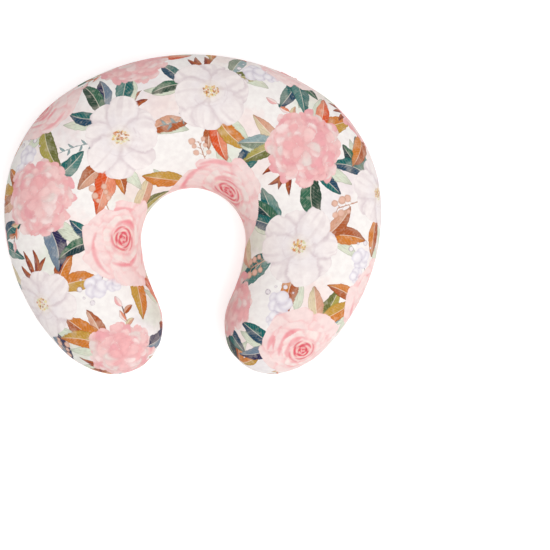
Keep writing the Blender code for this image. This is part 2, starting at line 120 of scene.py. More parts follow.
# What part.py writes in its own way. Labels start and end at parts of the way to the lobe tip, and have
# a low and a high row in degrees. The hand-closed stretch starts and ends; each tape has an outer row.
CARE_LABEL = (0.56, 0.62, -7.0, 12.0)
CASING_LABEL = (0.74, 0.80, -7.0, 16.0)
CLOSING = (0.50, 0.68)
TAPE_ROWS = (2.0, -19.0)
BRIDGE_TOP = 4.4 * MM

# Half the gap, in degrees, between two panels' edges at the seam. In part.py it is a little wider
SEAM_HALF_GAP = 0.10

# Mesh fineness: stations from the back to the lobe tip, ribs round the tip, places tried for an inner
# rib's foot, and rows on the top, which is side 1, and on the bottom, side -1. The inner faces and the
# cloth simulation take every fourth rib and row.
FINE_STATIONS = 512
FINE_TIP_RIBS = 63
INNER_POINTS = 6001
ROWS = {1: 113, -1: 45}
COARSE = 4

# How softly the form bends where it comes to rest on the floor
REST_SOFTNESS = 2.0 * MM

# A panel's first rows are packed at its edge, which is rounded over: row places and depths. The pull
# of the zip slot fades out over a number of rows.
EDGE_PLACES = (0.0, 0.35, 1.0, 2.1, 3.6)
EDGE_TUCKS = (0.75 * MM, 0.32 * MM, 0.06 * MM)
SLOT_BLEND = 18.0

# How far the simulated cloth may stand off the plain form, outwards and inwards
PROUD = 5.0 * MM
SUNK = 0.25 * MM

# Gathers beside the seam, and the cloth simulation
GATHER_PITCH = 8.0 * MM
GATHER_HEIGHT = 1.2 * MM
GATHER_REACH = 9.0 * MM
CLOTH_FRAMES = 20
CLOTH_SETTINGS = {"quality": 5, "mass": 0.25, "tension_stiffness": 25.0, "compression_stiffness": 25.0,
                  "shear_stiffness": 8.0, "bending_stiffness": 1.5, "use_pressure": True,
                  "uniform_pressure_force": 4.0}

# Stitches and coils
OVERLOCK_ROWS = np.array([2.15, 0.6])
COIL_PITCH = 1.25 * MM
COIL_POINTS = 10
COIL_REACH = 0.80 * MM
COIL_HEIGHT = 0.55 * MM
COIL_SINK = 0.75 * MM
COIL_WIRE = 0.20 * MM
STITCH_PITCH = 3.2 * MM
STITCH_RISE = 0.45 * MM
STITCH_DIP = 0.2 * MM
STITCH_THREAD = 0.22 * MM
OVERLOCK_THREAD = 0.12 * MM
LADDER_POINTS = 46
LADDER_RISE = 0.35 * MM
LADDER_THREAD = 0.2 * MM
TACK_STROKES = 27
TACK_SWAY = 0.9 * MM
TACK_RISE = 0.55 * MM
TACK_THREAD = 0.24 * MM

# Bars across the pull tab's grip
GRIP_PITCH = 1.5 * MM
GRIP_WIDTH = 0.7 * MM
GRIP_HALF = 1.6 * MM
GRIP_RISE = 0.15 * MM

# Scales in the materials. WAVE_UNIT is the wave texture's own scale for one ridge every metre
WAVE_UNIT = 0.05 * 2.0 * math.pi
JERSEY_PITCH = 1.1 * MM
VEIN_PITCH = 5.0 * MM

# Light: strengths of the world and the sun, the sun's apparent width in degrees, and its direction
WORLD_LIGHT = 0.28
SUN_LIGHT = 2.34
SUN_WIDTH = 40.0
SUN_FROM = (0.25, -0.20, 1.0)
WHITE = np.ones(3)

# Floor: its own glow, its colour, how far it reaches and how far it lies below the pillow
FLOOR_GLOW = 0.54
FLOOR_GREY = np.array([0.62, 0.62, 0.62])
FLOOR_REACH = 30.0
FLOOR_DROP = 0.2 * MM

# Camera: straight down, centred on the photograph's frame
CAMERA_PLACE = (0.1162, -0.0856, 2.235)
CAMERA_LENS = 100.0


# ---------------------------------------------------------------- small maths

def lattice_noise(place, size, seed):
    """Smooth random values from 0 to 1 over the plane, with features of about one size."""
    table = np.random.default_rng(seed).random((256, 256))
    grid = place / size + 1000.0
    cell = np.floor(grid).astype(int)
    part = grid - cell
    part = part * part * (3.0 - 2.0 * part)
    x0, y0 = cell[:, 0] & 255, cell[:, 1] & 255
    x1, y1 = (x0 + 1) & 255, (y0 + 1) & 255
    low = table[x0, y0] * (1 - part[:, 0]) + table[x1, y0] * part[:, 0]
    high = table[x0, y1] * (1 - part[:, 0]) + table[x1, y1] * part[:, 0]
    return low * (1 - part[:, 1]) + high * part[:, 1]


def step_between(value, low, high):
    t = np.clip((value - low) / (high - low), 0.0, 1.0)
    return t * t * (3.0 - 2.0 * t)


def blend_colours(first, second, share):
    return first + (second - first) * np.asarray(share)[..., None]


# ---------------------------------------------------------------- the form

def arc_step(heading, turn):
    """Displacement of a unit-radius arc that starts at a heading and turns, both in radians."""
    side = math.copysign(1.0, turn)
    end = heading + turn
    return side * (math.sin(end) - math.sin(heading)), side * (math.cos(heading) - math.cos(end))


def outline_arcs():
    """The right half's arcs, with the waist radius that brings the outline back to x = 0."""
    arcs = [BACK, SHOULDER, FLANK, LOWER_FLANK, LOBE_TIP, INNER_LOBE, (None, WAIST_TURN), HOLLOW]
    heading = 0.0
    reach = 0.0
    waist_step = 0.0
    for radius, turn in arcs:
        step_x = arc_step(heading, math.radians(turn))[0]
        if radius is None:
            waist_step = step_x
        else:
            reach += radius * step_x
        heading += math.radians(turn)
    return [(-reach / waist_step if radius is None else radius, math.radians(turn)) for radius, turn in arcs]


ARCS = outline_arcs()
ARC_ENDS = np.cumsum([radius * abs(turn) for radius, turn in ARCS])
TIP_START = ARC_ENDS[3]
TIP_END = ARC_ENDS[4]
OUTLINE_END = ARC_ENDS[-1]


def outline(length):
    """Point on the outline and its inward normal, at a length along it from the middle of the back."""
    x, y, heading = 0.0, BACK_Y, 0.0
    for radius, turn in ARCS:
        run = radius * abs(turn)
        part = turn * min(max(length / run, 0.0), 1.0)
        step_x, step_y = arc_step(heading, part)
        x, y, heading = x + radius * step_x, y + radius * step_y, heading + part
        length -= run
    return np.array([x, y]), np.array([math.sin(heading), -math.cos(heading)])


def through(knots, at):
    """Smooth curve through (place, value) knots, level at the first one."""
    places = [place for place, value in knots]
    values = [value for place, value in knots]
    slopes = list(np.gradient(values, places))
    slopes[0] = 0.0
    if values[1] == values[0]:
        slopes[1] = 0.0
    index = min(max(int(np.searchsorted(places, at, side="right")) - 1, 0), len(knots) - 2)
    width = places[index + 1] - places[index]
    t = (at - places[index]) / width
    start = (1 + 2 * t) * (1 - t) ** 2 * values[index] + t * (1 - t) ** 2 * width * slopes[index]
    end = t * t * (3 - 2 * t) * values[index + 1] + t * t * (t - 1) * width * slopes[index + 1]
    return start + end


Ring = namedtuple("Ring", "foot spine height side station bearing")


def rib(fraction):
    """Foot, spine and half height at a fraction of the way from the middle of the back to the lobe tip."""
    foot, inward = outline(fraction * TIP_START)
    return foot, foot + inward * through(CREST_OFFSETS, fraction), through(HALF_HEIGHTS, fraction)


@lru_cache(maxsize=None)
def ring(step):
    """Ribs all round the pillow, clockwise from the middle of the back; step thins them evenly."""
    lengths = np.linspace(TIP_END, OUTLINE_END, INNER_POINTS)
    inner_points = np.array([outline(length)[0] for length in lengths])
    rows = []
    for station in range(0, FINE_STATIONS + 1, step):
        fraction = station / FINE_STATIONS
        rows.append((*rib(fraction), station, math.degrees(fraction * TIP_START / BACK[0])))
    spines = {station: (spine, height) for foot, spine, height, station, bearing in rows}
    for tip in range(step, FINE_TIP_RIBS + 1, step):
        foot = outline(TIP_START + (TIP_END - TIP_START) * tip / (FINE_TIP_RIBS + 1))[0]
        rows.append((foot, *spines[FINE_STATIONS], FINE_STATIONS, math.inf))
    ends = {FINE_STATIONS: outline(TIP_END)[0], 0: outline(OUTLINE_END)[0]}
    for station in range(FINE_STATIONS, -1, -2 * step):
        spine, height = spines[station]
        nearest = inner_points[int(np.argmin(np.hypot(*(inner_points - spine).T)))]
        rows.append((ends.get(station, nearest), spine, height, station, math.inf))
    flip = np.array([-1.0, 1.0])
    left = [(foot * flip, spine * flip, height, station, -bearing) for foot, spine, height, station, bearing
            in rows[-2:0:-1]]
    foot, spine, height, station, bearing = (np.array(column) for column in zip(*(rows + left)))
    side = np.where(np.arange(len(foot)) < len(rows), 1, -1)
    return Ring(foot, spine, height, np.where(station == 0, 1, side), station, bearing)


def some_ribs(fractions):
    """Ribs of the outer side at fractions of the way to the lobe tip, which are negative on the left."""
    rows = []
    for fraction in fractions:
        flip = np.array([math.copysign(1.0, fraction), 1.0])
        foot, spine, height = rib(abs(fraction))
        rows.append((foot * flip, spine * flip, height))
    return Ring(*(np.array(column) for column in zip(*rows)), None, None, None)


def smooth_floor(height):
    """Heights held at or above zero, with a soft bend where they meet it."""
    bend = (height + REST_SOFTNESS) ** 2 / (4.0 * REST_SOFTNESS)
    return np.where(height <= -REST_SOFTNESS, 0.0, np.where(height >= REST_SOFTNESS, height, bend))


def form_points(ribs, latitude, depth):
    """Points of the stuffed form on each rib at each latitude in degrees, below the cover's face."""
    foot, spine, height = ribs.foot[:, None], ribs.spine[:, None], ribs.height[:, None]
    way = spine - foot
    reach = np.linalg.norm(way, axis=-1)
    angle = np.radians(latitude)
    depth = np.broadcast_to(depth, np.broadcast_shapes(angle.shape, reach.shape))
    run = depth + (reach - depth) * (1.0 - np.cos(angle))
    plan = foot + way / reach[..., None] * run[..., None]
    under = height / math.sin(math.radians(-REST_LATITUDE))
    above = height + (height - depth) * np.sin(angle)
    low = depth + smooth_floor(height + (under - depth) * np.sin(angle) - depth)
    return np.concatenate([plan, np.where(angle >= 0.0, above, low)[..., None]], axis=-1)


def even_latitudes(end, count, places):
    """Latitudes from the seam to end, evenly spaced along a typical quarter ellipse, at row places."""
    fine = np.radians(np.linspace(SEAM_LATITUDE, end, 2001))
    steps = np.hypot(np.diff(CREST_OFFSETS[0][1] * np.cos(fine)), np.diff(HALF_HEIGHTS[0][1] * np.sin(fine)))
    run = np.concatenate([[0.0], np.cumsum(steps)])
    return np.degrees(np.interp(np.asarray(places) / (count - 1) * run[-1], run, fine))


def seam_edge(ribs, side):
    """Latitude of a casing panel's edge at each rib: at the seam all round."""
    return np.full(len(ribs.foot), SEAM_LATITUDE + side * SEAM_HALF_GAP)


def slot_edge(ribs, side):
    """Latitude of a cover panel's edge at each rib: at the seam, or pulled back along the zip slot."""
    pull = 1.0 - step_between(np.abs(ribs.bearing), SLOT_END, SLOT_END + SLOT_CLOSE)
    return SEAM_LATITUDE + side * (SEAM_HALF_GAP + (SLOT_HALF - SEAM_HALF_GAP) * pull)


Layer = namedtuple("Layer", "points faces flat latitude columns crests")


def layer(ribs, edge, side, step, depth, shift=None):
    """One face of a layer of cloth, from its edge latitudes to the crest line above or below.

    flat is each point's place in the layer laid flat. shift moves the points of each rib's rows. The
    finest layer, of step 1, has its edge rounded over.
    """
    pole = 90.0 * side
    count = (ROWS[side] - 1) // step + 1
    places = np.arange(count - 1, dtype=float)
    depths = np.full(count - 1, float(depth))
    if step == 1:
        places[:len(EDGE_PLACES)] = EDGE_PLACES
        depths[:len(EDGE_TUCKS)] += EDGE_TUCKS
    hold = np.clip(1.0 - places * step / SLOT_BLEND, 0.0, 1.0) ** 2
    latitude = even_latitudes(pole, count, places) + (edge[:, None] - SEAM_LATITUDE) * hold
    body = form_points(ribs, latitude, depths)
    crest = form_points(ribs, np.full((len(ribs.foot), 1), pole), depth)
    keys = list(zip(ribs.side, ribs.station))
    poles = {}
    for place, key in enumerate(keys):
        poles.setdefault(key, place)
    order = {key: number for number, key in enumerate(poles)}
    steps = np.linalg.norm(np.diff(np.concatenate([body, crest], axis=1), axis=1), axis=2)
    from_crest = np.cumsum(steps[:, ::-1], axis=1)[:, ::-1]
    flat = ribs.spine[:, None] + outward_ways(ribs)[:, None] * from_crest[..., None]
    if shift is not None:
        body = body + shift[:, :-1]
        crest = crest + shift[:, -1:]
    tops = crest[list(poles.values()), 0]
    points = np.concatenate([body.reshape(-1, 3), tops])
    points[:, 2] = np.maximum(points[:, 2], depth)
    flat = np.concatenate([flat.reshape(-1, 2), tops[:, :2]])
    columns = np.arange(body.shape[0] * body.shape[1]).reshape(body.shape[:2])
    round_again = np.concatenate([columns, columns[:1]])
    faces = grid_quads(round_again).tolist() + crest_faces(ribs, round_again, order)
    if side < 0:
        faces = [face[::-1] for face in faces]
    rows = np.concatenate([latitude.reshape(-1), np.full(len(tops), pole)])
    crests = columns.size + np.array([order[key] for key in keys])
    return Layer(points, faces, flat, rows, columns, crests)


def grid_quads(grid):
    """Quads between neighbours in a grid of point numbers."""
    return np.stack([grid[:-1, :-1], grid[:-1, 1:], grid[1:, 1:], grid[1:, :-1]], axis=-1).reshape(-1, 4)


def crest_faces(ribs, columns, order):
    """Faces between the last row and the crest line; ribs that skip stations take them all in."""
    total = len(ribs.foot) * columns.shape[1]
    stations = sorted({int(station) for station in ribs.station})
    number = {station: place for place, station in enumerate(stations)}
    faces = []
    for rib_number in range(len(ribs.foot)):
        following = (rib_number + 1) % len(ribs.foot)
        side = int(ribs.side[rib_number] if ribs.station[rib_number] else ribs.side[following])
        first, last = (number[int(ribs.station[place])] for place in (rib_number, following))
        way = 1 if last >= first else -1
        between = [stations[place] for place in range(first, last + way, way)]
        tops = [total + order[(side if station else 1, station)] for station in between]
        faces.append([int(columns[rib_number, -1])] + tops + [int(columns[rib_number + 1, -1])])
    return faces


def closed_cloth(outer, inner, step):
    """One closed piece of cloth from its outer face and its inner face, which may be coarser."""
    points = np.concatenate([outer.points, inner.points])
    start = len(outer.points)
    faces = list(outer.faces) + [[corner + start for corner in face[::-1]] for face in inner.faces]
    rising = outer.latitude[outer.columns[0, 1]] > outer.latitude[outer.columns[0, 0]]
    fine, coarse = len(outer.columns), len(inner.columns)
    for column in range(coarse):
        here = int(inner.columns[column, 0]) + start
        there = int(inner.columns[(column + 1) % coarse, 0]) + start
        edge = [int(outer.columns[(column * step + k) % fine, 0]) for k in range(step + 1)]
        rim = [[here, edge[k], edge[k + 1]] for k in range(step)] + [[here, edge[-1], there]]
        faces += rim if rising else [face[::-1] for face in rim]
    return points, faces


def closed_form(depth):
    """The whole stuffed form at one depth as one closed mesh, from the coarse rings."""
    ribs = ring(COARSE)
    edge = np.full(len(ribs.foot), SEAM_LATITUDE)
    top, bottom = (layer(ribs, edge, side, COARSE, depth) for side in (1, -1))
    own = np.ones(len(bottom.points), dtype=bool)
    own[bottom.columns[:, 0]] = False
    place = len(top.points) + np.cumsum(own) - 1
    place[bottom.columns[:, 0]] = top.columns[:, 0]
    points = np.concatenate([top.points, bottom.points[own]])
    faces = top.faces + [[int(place[corner]) for corner in face] for face in bottom.faces]
    return points, faces, top, bottom, place


# ---------------------------------------------------------------- the cover under tension

def refine(values, step, cyclic):
    """Catmull-Rom in-betweens along the first axis."""
    count = len(values)
    total = count * step if cyclic else (count - 1) * step + 1
    base, part = np.divmod(np.arange(total), step)
    t = (part / step).reshape([-1] + [1] * (values.ndim - 1))
    pick = [(base + k) % count if cyclic else np.clip(base + k, 0, count - 1) for k in (-1, 0, 1, 2)]
    a, b, c, d = (values[index] for index in pick)
    square, cube = 2 * a - 5 * b + 4 * c - d, 3 * b - a - 3 * c + d
    return 0.5 * (2 * b + (c - a) * t + square * t ** 2 + cube * t ** 3)


def settled_cover():
    """Simulates the cover's cloth under the pressure of its filling, sewn down along the seam.

    Gives each row's move for the coarse ribs of the top, as 1, and of the bottom, as -1.
    """
    points, faces, top, bottom, place = closed_form(0.0)
    moved = np.zeros((len(points), 3))
    cushion = make_mesh("cover_under_pressure", points, faces)
    pins = cushion.vertex_groups.new(name="seam")
    pins.add([int(corner) for corner in top.columns[:, 0]], 1.0, "REPLACE")
    cloth = cushion.modifiers.new("Cloth", "CLOTH")
    for name, value in CLOTH_SETTINGS.items():
        setattr(cloth.settings, name, value)
    cloth.settings.vertex_group_mass = "seam"
    cloth.settings.effector_weights.gravity = 0.0
    cloth.collision_settings.use_collision = False
    for step in range(1, CLOTH_FRAMES + 1):
        bpy.context.scene.frame_set(step)
    held = cushion.evaluated_get(bpy.context.evaluated_depsgraph_get())
    settled = np.empty(len(points) * 3, dtype=np.float32)
    held.data.vertices.foreach_get("co", settled)
    moved = settled.reshape(-1, 3).astype(float) - points
    bpy.data.objects.remove(cushion, do_unlink=True)
    bpy.context.scene.frame_set(1)
    moves = {1: moved[:len(top.points)], -1: moved[place]}
    return {side: np.concatenate([moves[side][panel.columns], moves[side][panel.crests][:, None]], axis=1)
            for side, panel in ((1, top), (-1, bottom))}


def outward_ways(ribs):
    """Unit directions, seen from above, from each rib's spine to its foot."""
    return (ribs.foot - ribs.spine) / np.linalg.norm(ribs.foot - ribs.spine, axis=1)[:, None]


def outward_normals(grid, up):
    """Unit normals of a closed row of ribs, with the crest's row pointing straight up or down."""
    along = np.roll(grid, -1, axis=0) - np.roll(grid, 1, axis=0)
    normals = np.cross(np.gradient(grid, axis=1), along)
    normals /= np.linalg.norm(normals, axis=-1)[..., None] + 1e-12
    middle = grid.mean(axis=(0, 1))
    if np.sum(normals[:, 0] * (grid[:, 0] - middle)) < 0.0:
        normals = -normals
    normals[:, -1] = (0.0, 0.0, up)
    return normals


def cover_shift(ribs, tension, side):
    """How far the fine ribs' rows move: the simulated swell, and the gathers beside the seam."""
    count = ROWS[side]
    grid = form_points(ribs, even_latitudes(90.0 * side, count, np.arange(count))[None, :], 0.0)
    normals = outward_normals(grid, side)
    swell = np.clip(np.sum(tension * normals[::COARSE, ::COARSE], axis=-1), -SUNK, PROUD)
    swell = refine(refine(swell, COARSE, True).T, COARSE, False).T
    swell = swell * step_between(np.linspace(0.0, 1.0, count)[None, :], 0.10, 0.28)
    from_seam = np.cumsum(np.linalg.norm(np.diff(grid, axis=1, prepend=grid[:, :1]), axis=2), axis=1)
    place = ribs.foot[:, None] + 0.35 * outward_ways(ribs)[:, None] * from_seam[..., None]
    zip_side = step_between(np.abs(ribs.bearing), SLOT_END, SLOT_END + 4.0)[:, None]
    height = GATHER_HEIGHT * (0.35 + 0.65 * zip_side)
    for scale, seed in ((1.0, 71), (3.0, 72)):
        gathers = lattice_noise(place.reshape(-1, 2), scale * GATHER_PITCH, seed).reshape(swell.shape)
        fade = np.exp(-from_seam / (scale * GATHER_REACH)) * step_between(from_seam, 0.0, scale * 3.0 * MM)
        swell = swell + height * gathers * fade
    return normals * swell[..., None]


# ---------------------------------------------------------------- scene helpers

def put_in_scene(name, data):
    made = bpy.data.objects.new(name, data)
    bpy.context.scene.collection.objects.link(made)
    return made


def make_mesh(name, points, faces, smooth=True):
    mesh = bpy.data.meshes.new(name)
    mesh.from_pydata([tuple(point) for point in points], [], faces)
    mesh.update()
    if smooth:
        mesh.shade_smooth()
    return put_in_scene(name, mesh)


def set_attribute(piece, name, kind, values):
    """Store a value at each vertex, where a material reads it. A colour gets an alpha of one."""
    values = np.asarray(values, dtype=np.float32)
    if kind == "FLOAT_COLOR":
        values = np.concatenate([values, np.ones((len(values), 1), dtype=np.float32)], axis=1)
    field = {"FLOAT": "value", "FLOAT_VECTOR": "vector", "FLOAT_COLOR": "color"}[kind]
    piece.data.attributes.new(name, kind, "POINT").data.foreach_set(field, values.ravel())


def set_cloth_place(piece, flat):
    """Store each vertex's place in the cloth laid flat, for the weave."""
    set_attribute(piece, "cloth", "FLOAT_VECTOR", np.pad(flat, ((0, 0), (0, 1))))


def srgb(red, green, blue):
    """A colour as it looks on screen, 0 to 255, as linear light."""
    value = np.array([red, green, blue], dtype=float) / 255.0
    return np.where(value <= 0.04045, value / 12.92, ((value + 0.055) / 1.055) ** 2.4)


class Look:
    """A material being made: its shader, and short ways to add nodes to its tree."""

    def __init__(self, name):
        self.material = bpy.data.materials.new(name)
        self.material.use_nodes = True
        self.tree = self.material.node_tree
        self.shader = self.tree.nodes["Principled BSDF"]

    def feed(self, socket, value):
        """Link a socket to another one, or set its own value. A colour gets an alpha of one."""
        if isinstance(value, bpy.types.NodeSocket):
            self.tree.links.new(value, socket)
        else:
            socket.default_value = (*value, 1.0) if isinstance(value, np.ndarray) else value

    def add(self, kind, inputs=None, **settings):
        made = self.tree.nodes.new("ShaderNode" + kind)
        for key, value in settings.items():
            setattr(made, key, value)
        for key, value in (inputs or {}).items():
            self.feed(made.inputs[key], value)
        return made

    def attribute(self, name, output="Color"):
        return self.add("Attribute", attribute_name=name).outputs[output]

    def cloth_place(self):
        return self.attribute("cloth", "Vector")

    def object_place(self):
        return self.add("TexCoord").outputs["Object"]

    def ramp(self, value, low, high, out_low=0.0, out_high=1.0, shape="SMOOTHSTEP"):
        inputs = {"Value": value, "From Min": low, "From Max": high, "To Min": out_low, "To Max": out_high}
        return self.add("MapRange", inputs, interpolation_type=shape).outputs["Result"]

    def maths(self, operation, *values):
        return self.add("Math", dict(enumerate(values)), operation=operation).outputs[0]

    def stretch(self, place, scale):
        return self.add("VectorMath", {0: place, 1: scale}, operation="MULTIPLY").outputs[0]

    def mix(self, factor, first, second, blend="MIX"):
        inputs = {0: factor, 6: first, 7: second}
        return self.add("Mix", inputs, data_type="RGBA", blend_type=blend).outputs[2]

    def noise(self, place, size, detail=3.0, distortion=0.0):
        inputs = {"Vector": place, "Scale": 1.0 / size, "Detail": detail, "Distortion": distortion}
        return self.add("TexNoise", inputs).outputs["Fac"]

    def waves(self, place, pitch, direction, distortion=0.0, detail=1.0):
        """Parallel ridges across a direction, one every pitch."""
        inputs = {"Vector": place, "Scale": WAVE_UNIT / pitch, "Distortion": distortion, "Detail": detail}
        return self.add("TexWave", inputs, bands_direction=direction).outputs["Fac"]

    def finish(self, colour, height, distance, strength, roughness, sheen=(0.0, 0.5, 0.5), coat=(0.0, 0.03)):
        """Feed the shader. sheen is its weight, roughness and the specular level; coat, the first two."""
        bump = self.add("Bump", {"Height": height, "Strength": strength, "Distance": distance})
        names = ("Base Color", "Normal", "Roughness", "Sheen Weight", "Sheen Roughness",
                 "Specular IOR Level", "Coat Weight", "Coat Roughness")
        for name, value in zip(names, (colour, bump.outputs["Normal"], roughness, *sheen, *coat)):
            self.feed(self.shader.inputs[name], value)


# ---------------------------------------------------------------- the print

GROUND = srgb(253, 248, 244)
CREAM = srgb(252, 240, 222)
WHITE_PETAL = srgb(252, 243, 240)
PETAL_SHADE = srgb(226, 211, 213)
LILAC = srgb(206, 196, 210)
LILAC_PALE = srgb(243, 235, 237)
ROSE_PALE = srgb(253, 228, 224)
ROSE = srgb(248, 186, 186)
ROSE_MID = srgb(243, 136, 146)
ROSE_DEEP = srgb(226, 52, 78)
BLUSH = srgb(252, 234, 228)
NAVY = srgb(42, 40, 84)
INK_BLUE = srgb(34, 74, 100)
BLUE_GREY = srgb(116, 136, 156)
TEAL = srgb(16, 104, 102)
TEAL_DARK = srgb(22, 58, 64)
SEA = srgb(84, 134, 128)
MIST = srgb(150, 174, 176)
GREEN = srgb(56, 108, 82)
GREEN_DARK = srgb(44, 74, 58)
SAGE = srgb(134, 148, 128)
PALE_GREEN = srgb(224, 231, 210)
OLIVE = srgb(176, 164, 80)
OLIVE_DARK = srgb(112, 116, 56)
BEIGE = srgb(228, 210, 172)
STRAW = srgb(228, 222, 186)
OCHRE = srgb(204, 156, 62)
ORANGE = srgb(216, 128, 44)
RED_ORANGE = srgb(226, 88, 36)
RUST = srgb(180, 92, 44)
TAN = srgb(222, 166, 138)
CORAL = srgb(236, 142, 108)
BROWN_RED = srgb(146, 58, 38)
BROWN = srgb(118, 82, 66)
PLUM = srgb(128, 98, 128)
BERRY = srgb(236, 192, 172)
ANTHERS = (srgb(240, 196, 108), srgb(184, 108, 34), ORANGE, srgb(250, 228, 150), srgb(228, 226, 170), CREAM)
PEONY_TONES = (ROSE, ROSE_PALE, srgb(250, 200, 198), srgb(252, 212, 208), srgb(244, 176, 180),
               srgb(240, 222, 216))
STAINS = (srgb(248, 228, 224), ROSE_PALE, LILAC_PALE, PALE_GREEN, srgb(253, 232, 226))

# A rose's rings: petal length and width as parts of its radius, count, body, base, depth of the base
ROSE_RINGS = ((1.00, 0.95, 7, ROSE_PALE, BLUSH, 0.35), (0.76, 0.80, 6, ROSE_PALE, ROSE, 0.45),
              (0.56, 0.62, 6, BLUSH, ROSE, 0.60))

# Leaf colours, as (left half, right half)
COOL_LEAVES = ((TEAL_DARK, GREEN), (NAVY, BLUE_GREY), (TEAL, SEA), (GREEN_DARK, GREEN), (INK_BLUE, TEAL))
WARM_LEAVES = ((RUST, ORANGE), (CORAL, RED_ORANGE), (ORANGE, OCHRE), (TAN, RUST))
PALE_LEAVES = ((STRAW, BEIGE), (SAGE, MIST), (OLIVE_DARK, OLIVE), (BEIGE, TAN))
LEAF_SETS = (COOL_LEAVES, WARM_LEAVES, PALE_LEAVES, COOL_LEAVES, WARM_LEAVES)
BUD_TONES = ((BEIGE, TAN), (ROSE_PALE, CORAL), (TAN, RUST), (ROSE, ROSE_PALE))

# The repeat that the fabric is printed in: a half drop, with heads this far apart
PRINT_SEED = 5
REPEAT_ACROSS = 122.0 * MM
REPEAT_DOWN = 144.0 * MM
REPEAT_START = np.array([30.0, 22.0]) * MM
REPEAT_SWAY = 9.0 * MM
REPEAT_CELLS = range(-4, 5)
HEAD_REACH = 70.0 * MM
HEAD_RIM = 0.72
STAIN_SIZE = 38.0 * MM

# Sizes of what is painted
LEAF_LENGTH = 72.0 * MM
FAINT_LEAF = 58.0 * MM
FAN_SPREAD = 104.0
BRANCH = 42.0 * MM
STEM_WIDTH = 1.5 * MM
SPRIG_LEAF = 8.0 * MM
SPRIG_GAP = 6.5 * MM
PETAL_RIM = 0.50
PEONY_PETALS = 170
PEONY_PETAL = 17.0 * MM
GOLDEN_ANGLE = 137.5
FULL_TURN = 2.0 * math.pi


def direction(angle):
    turn = math.radians(angle)
    return np.array([math.cos(turn), math.sin(turn)])


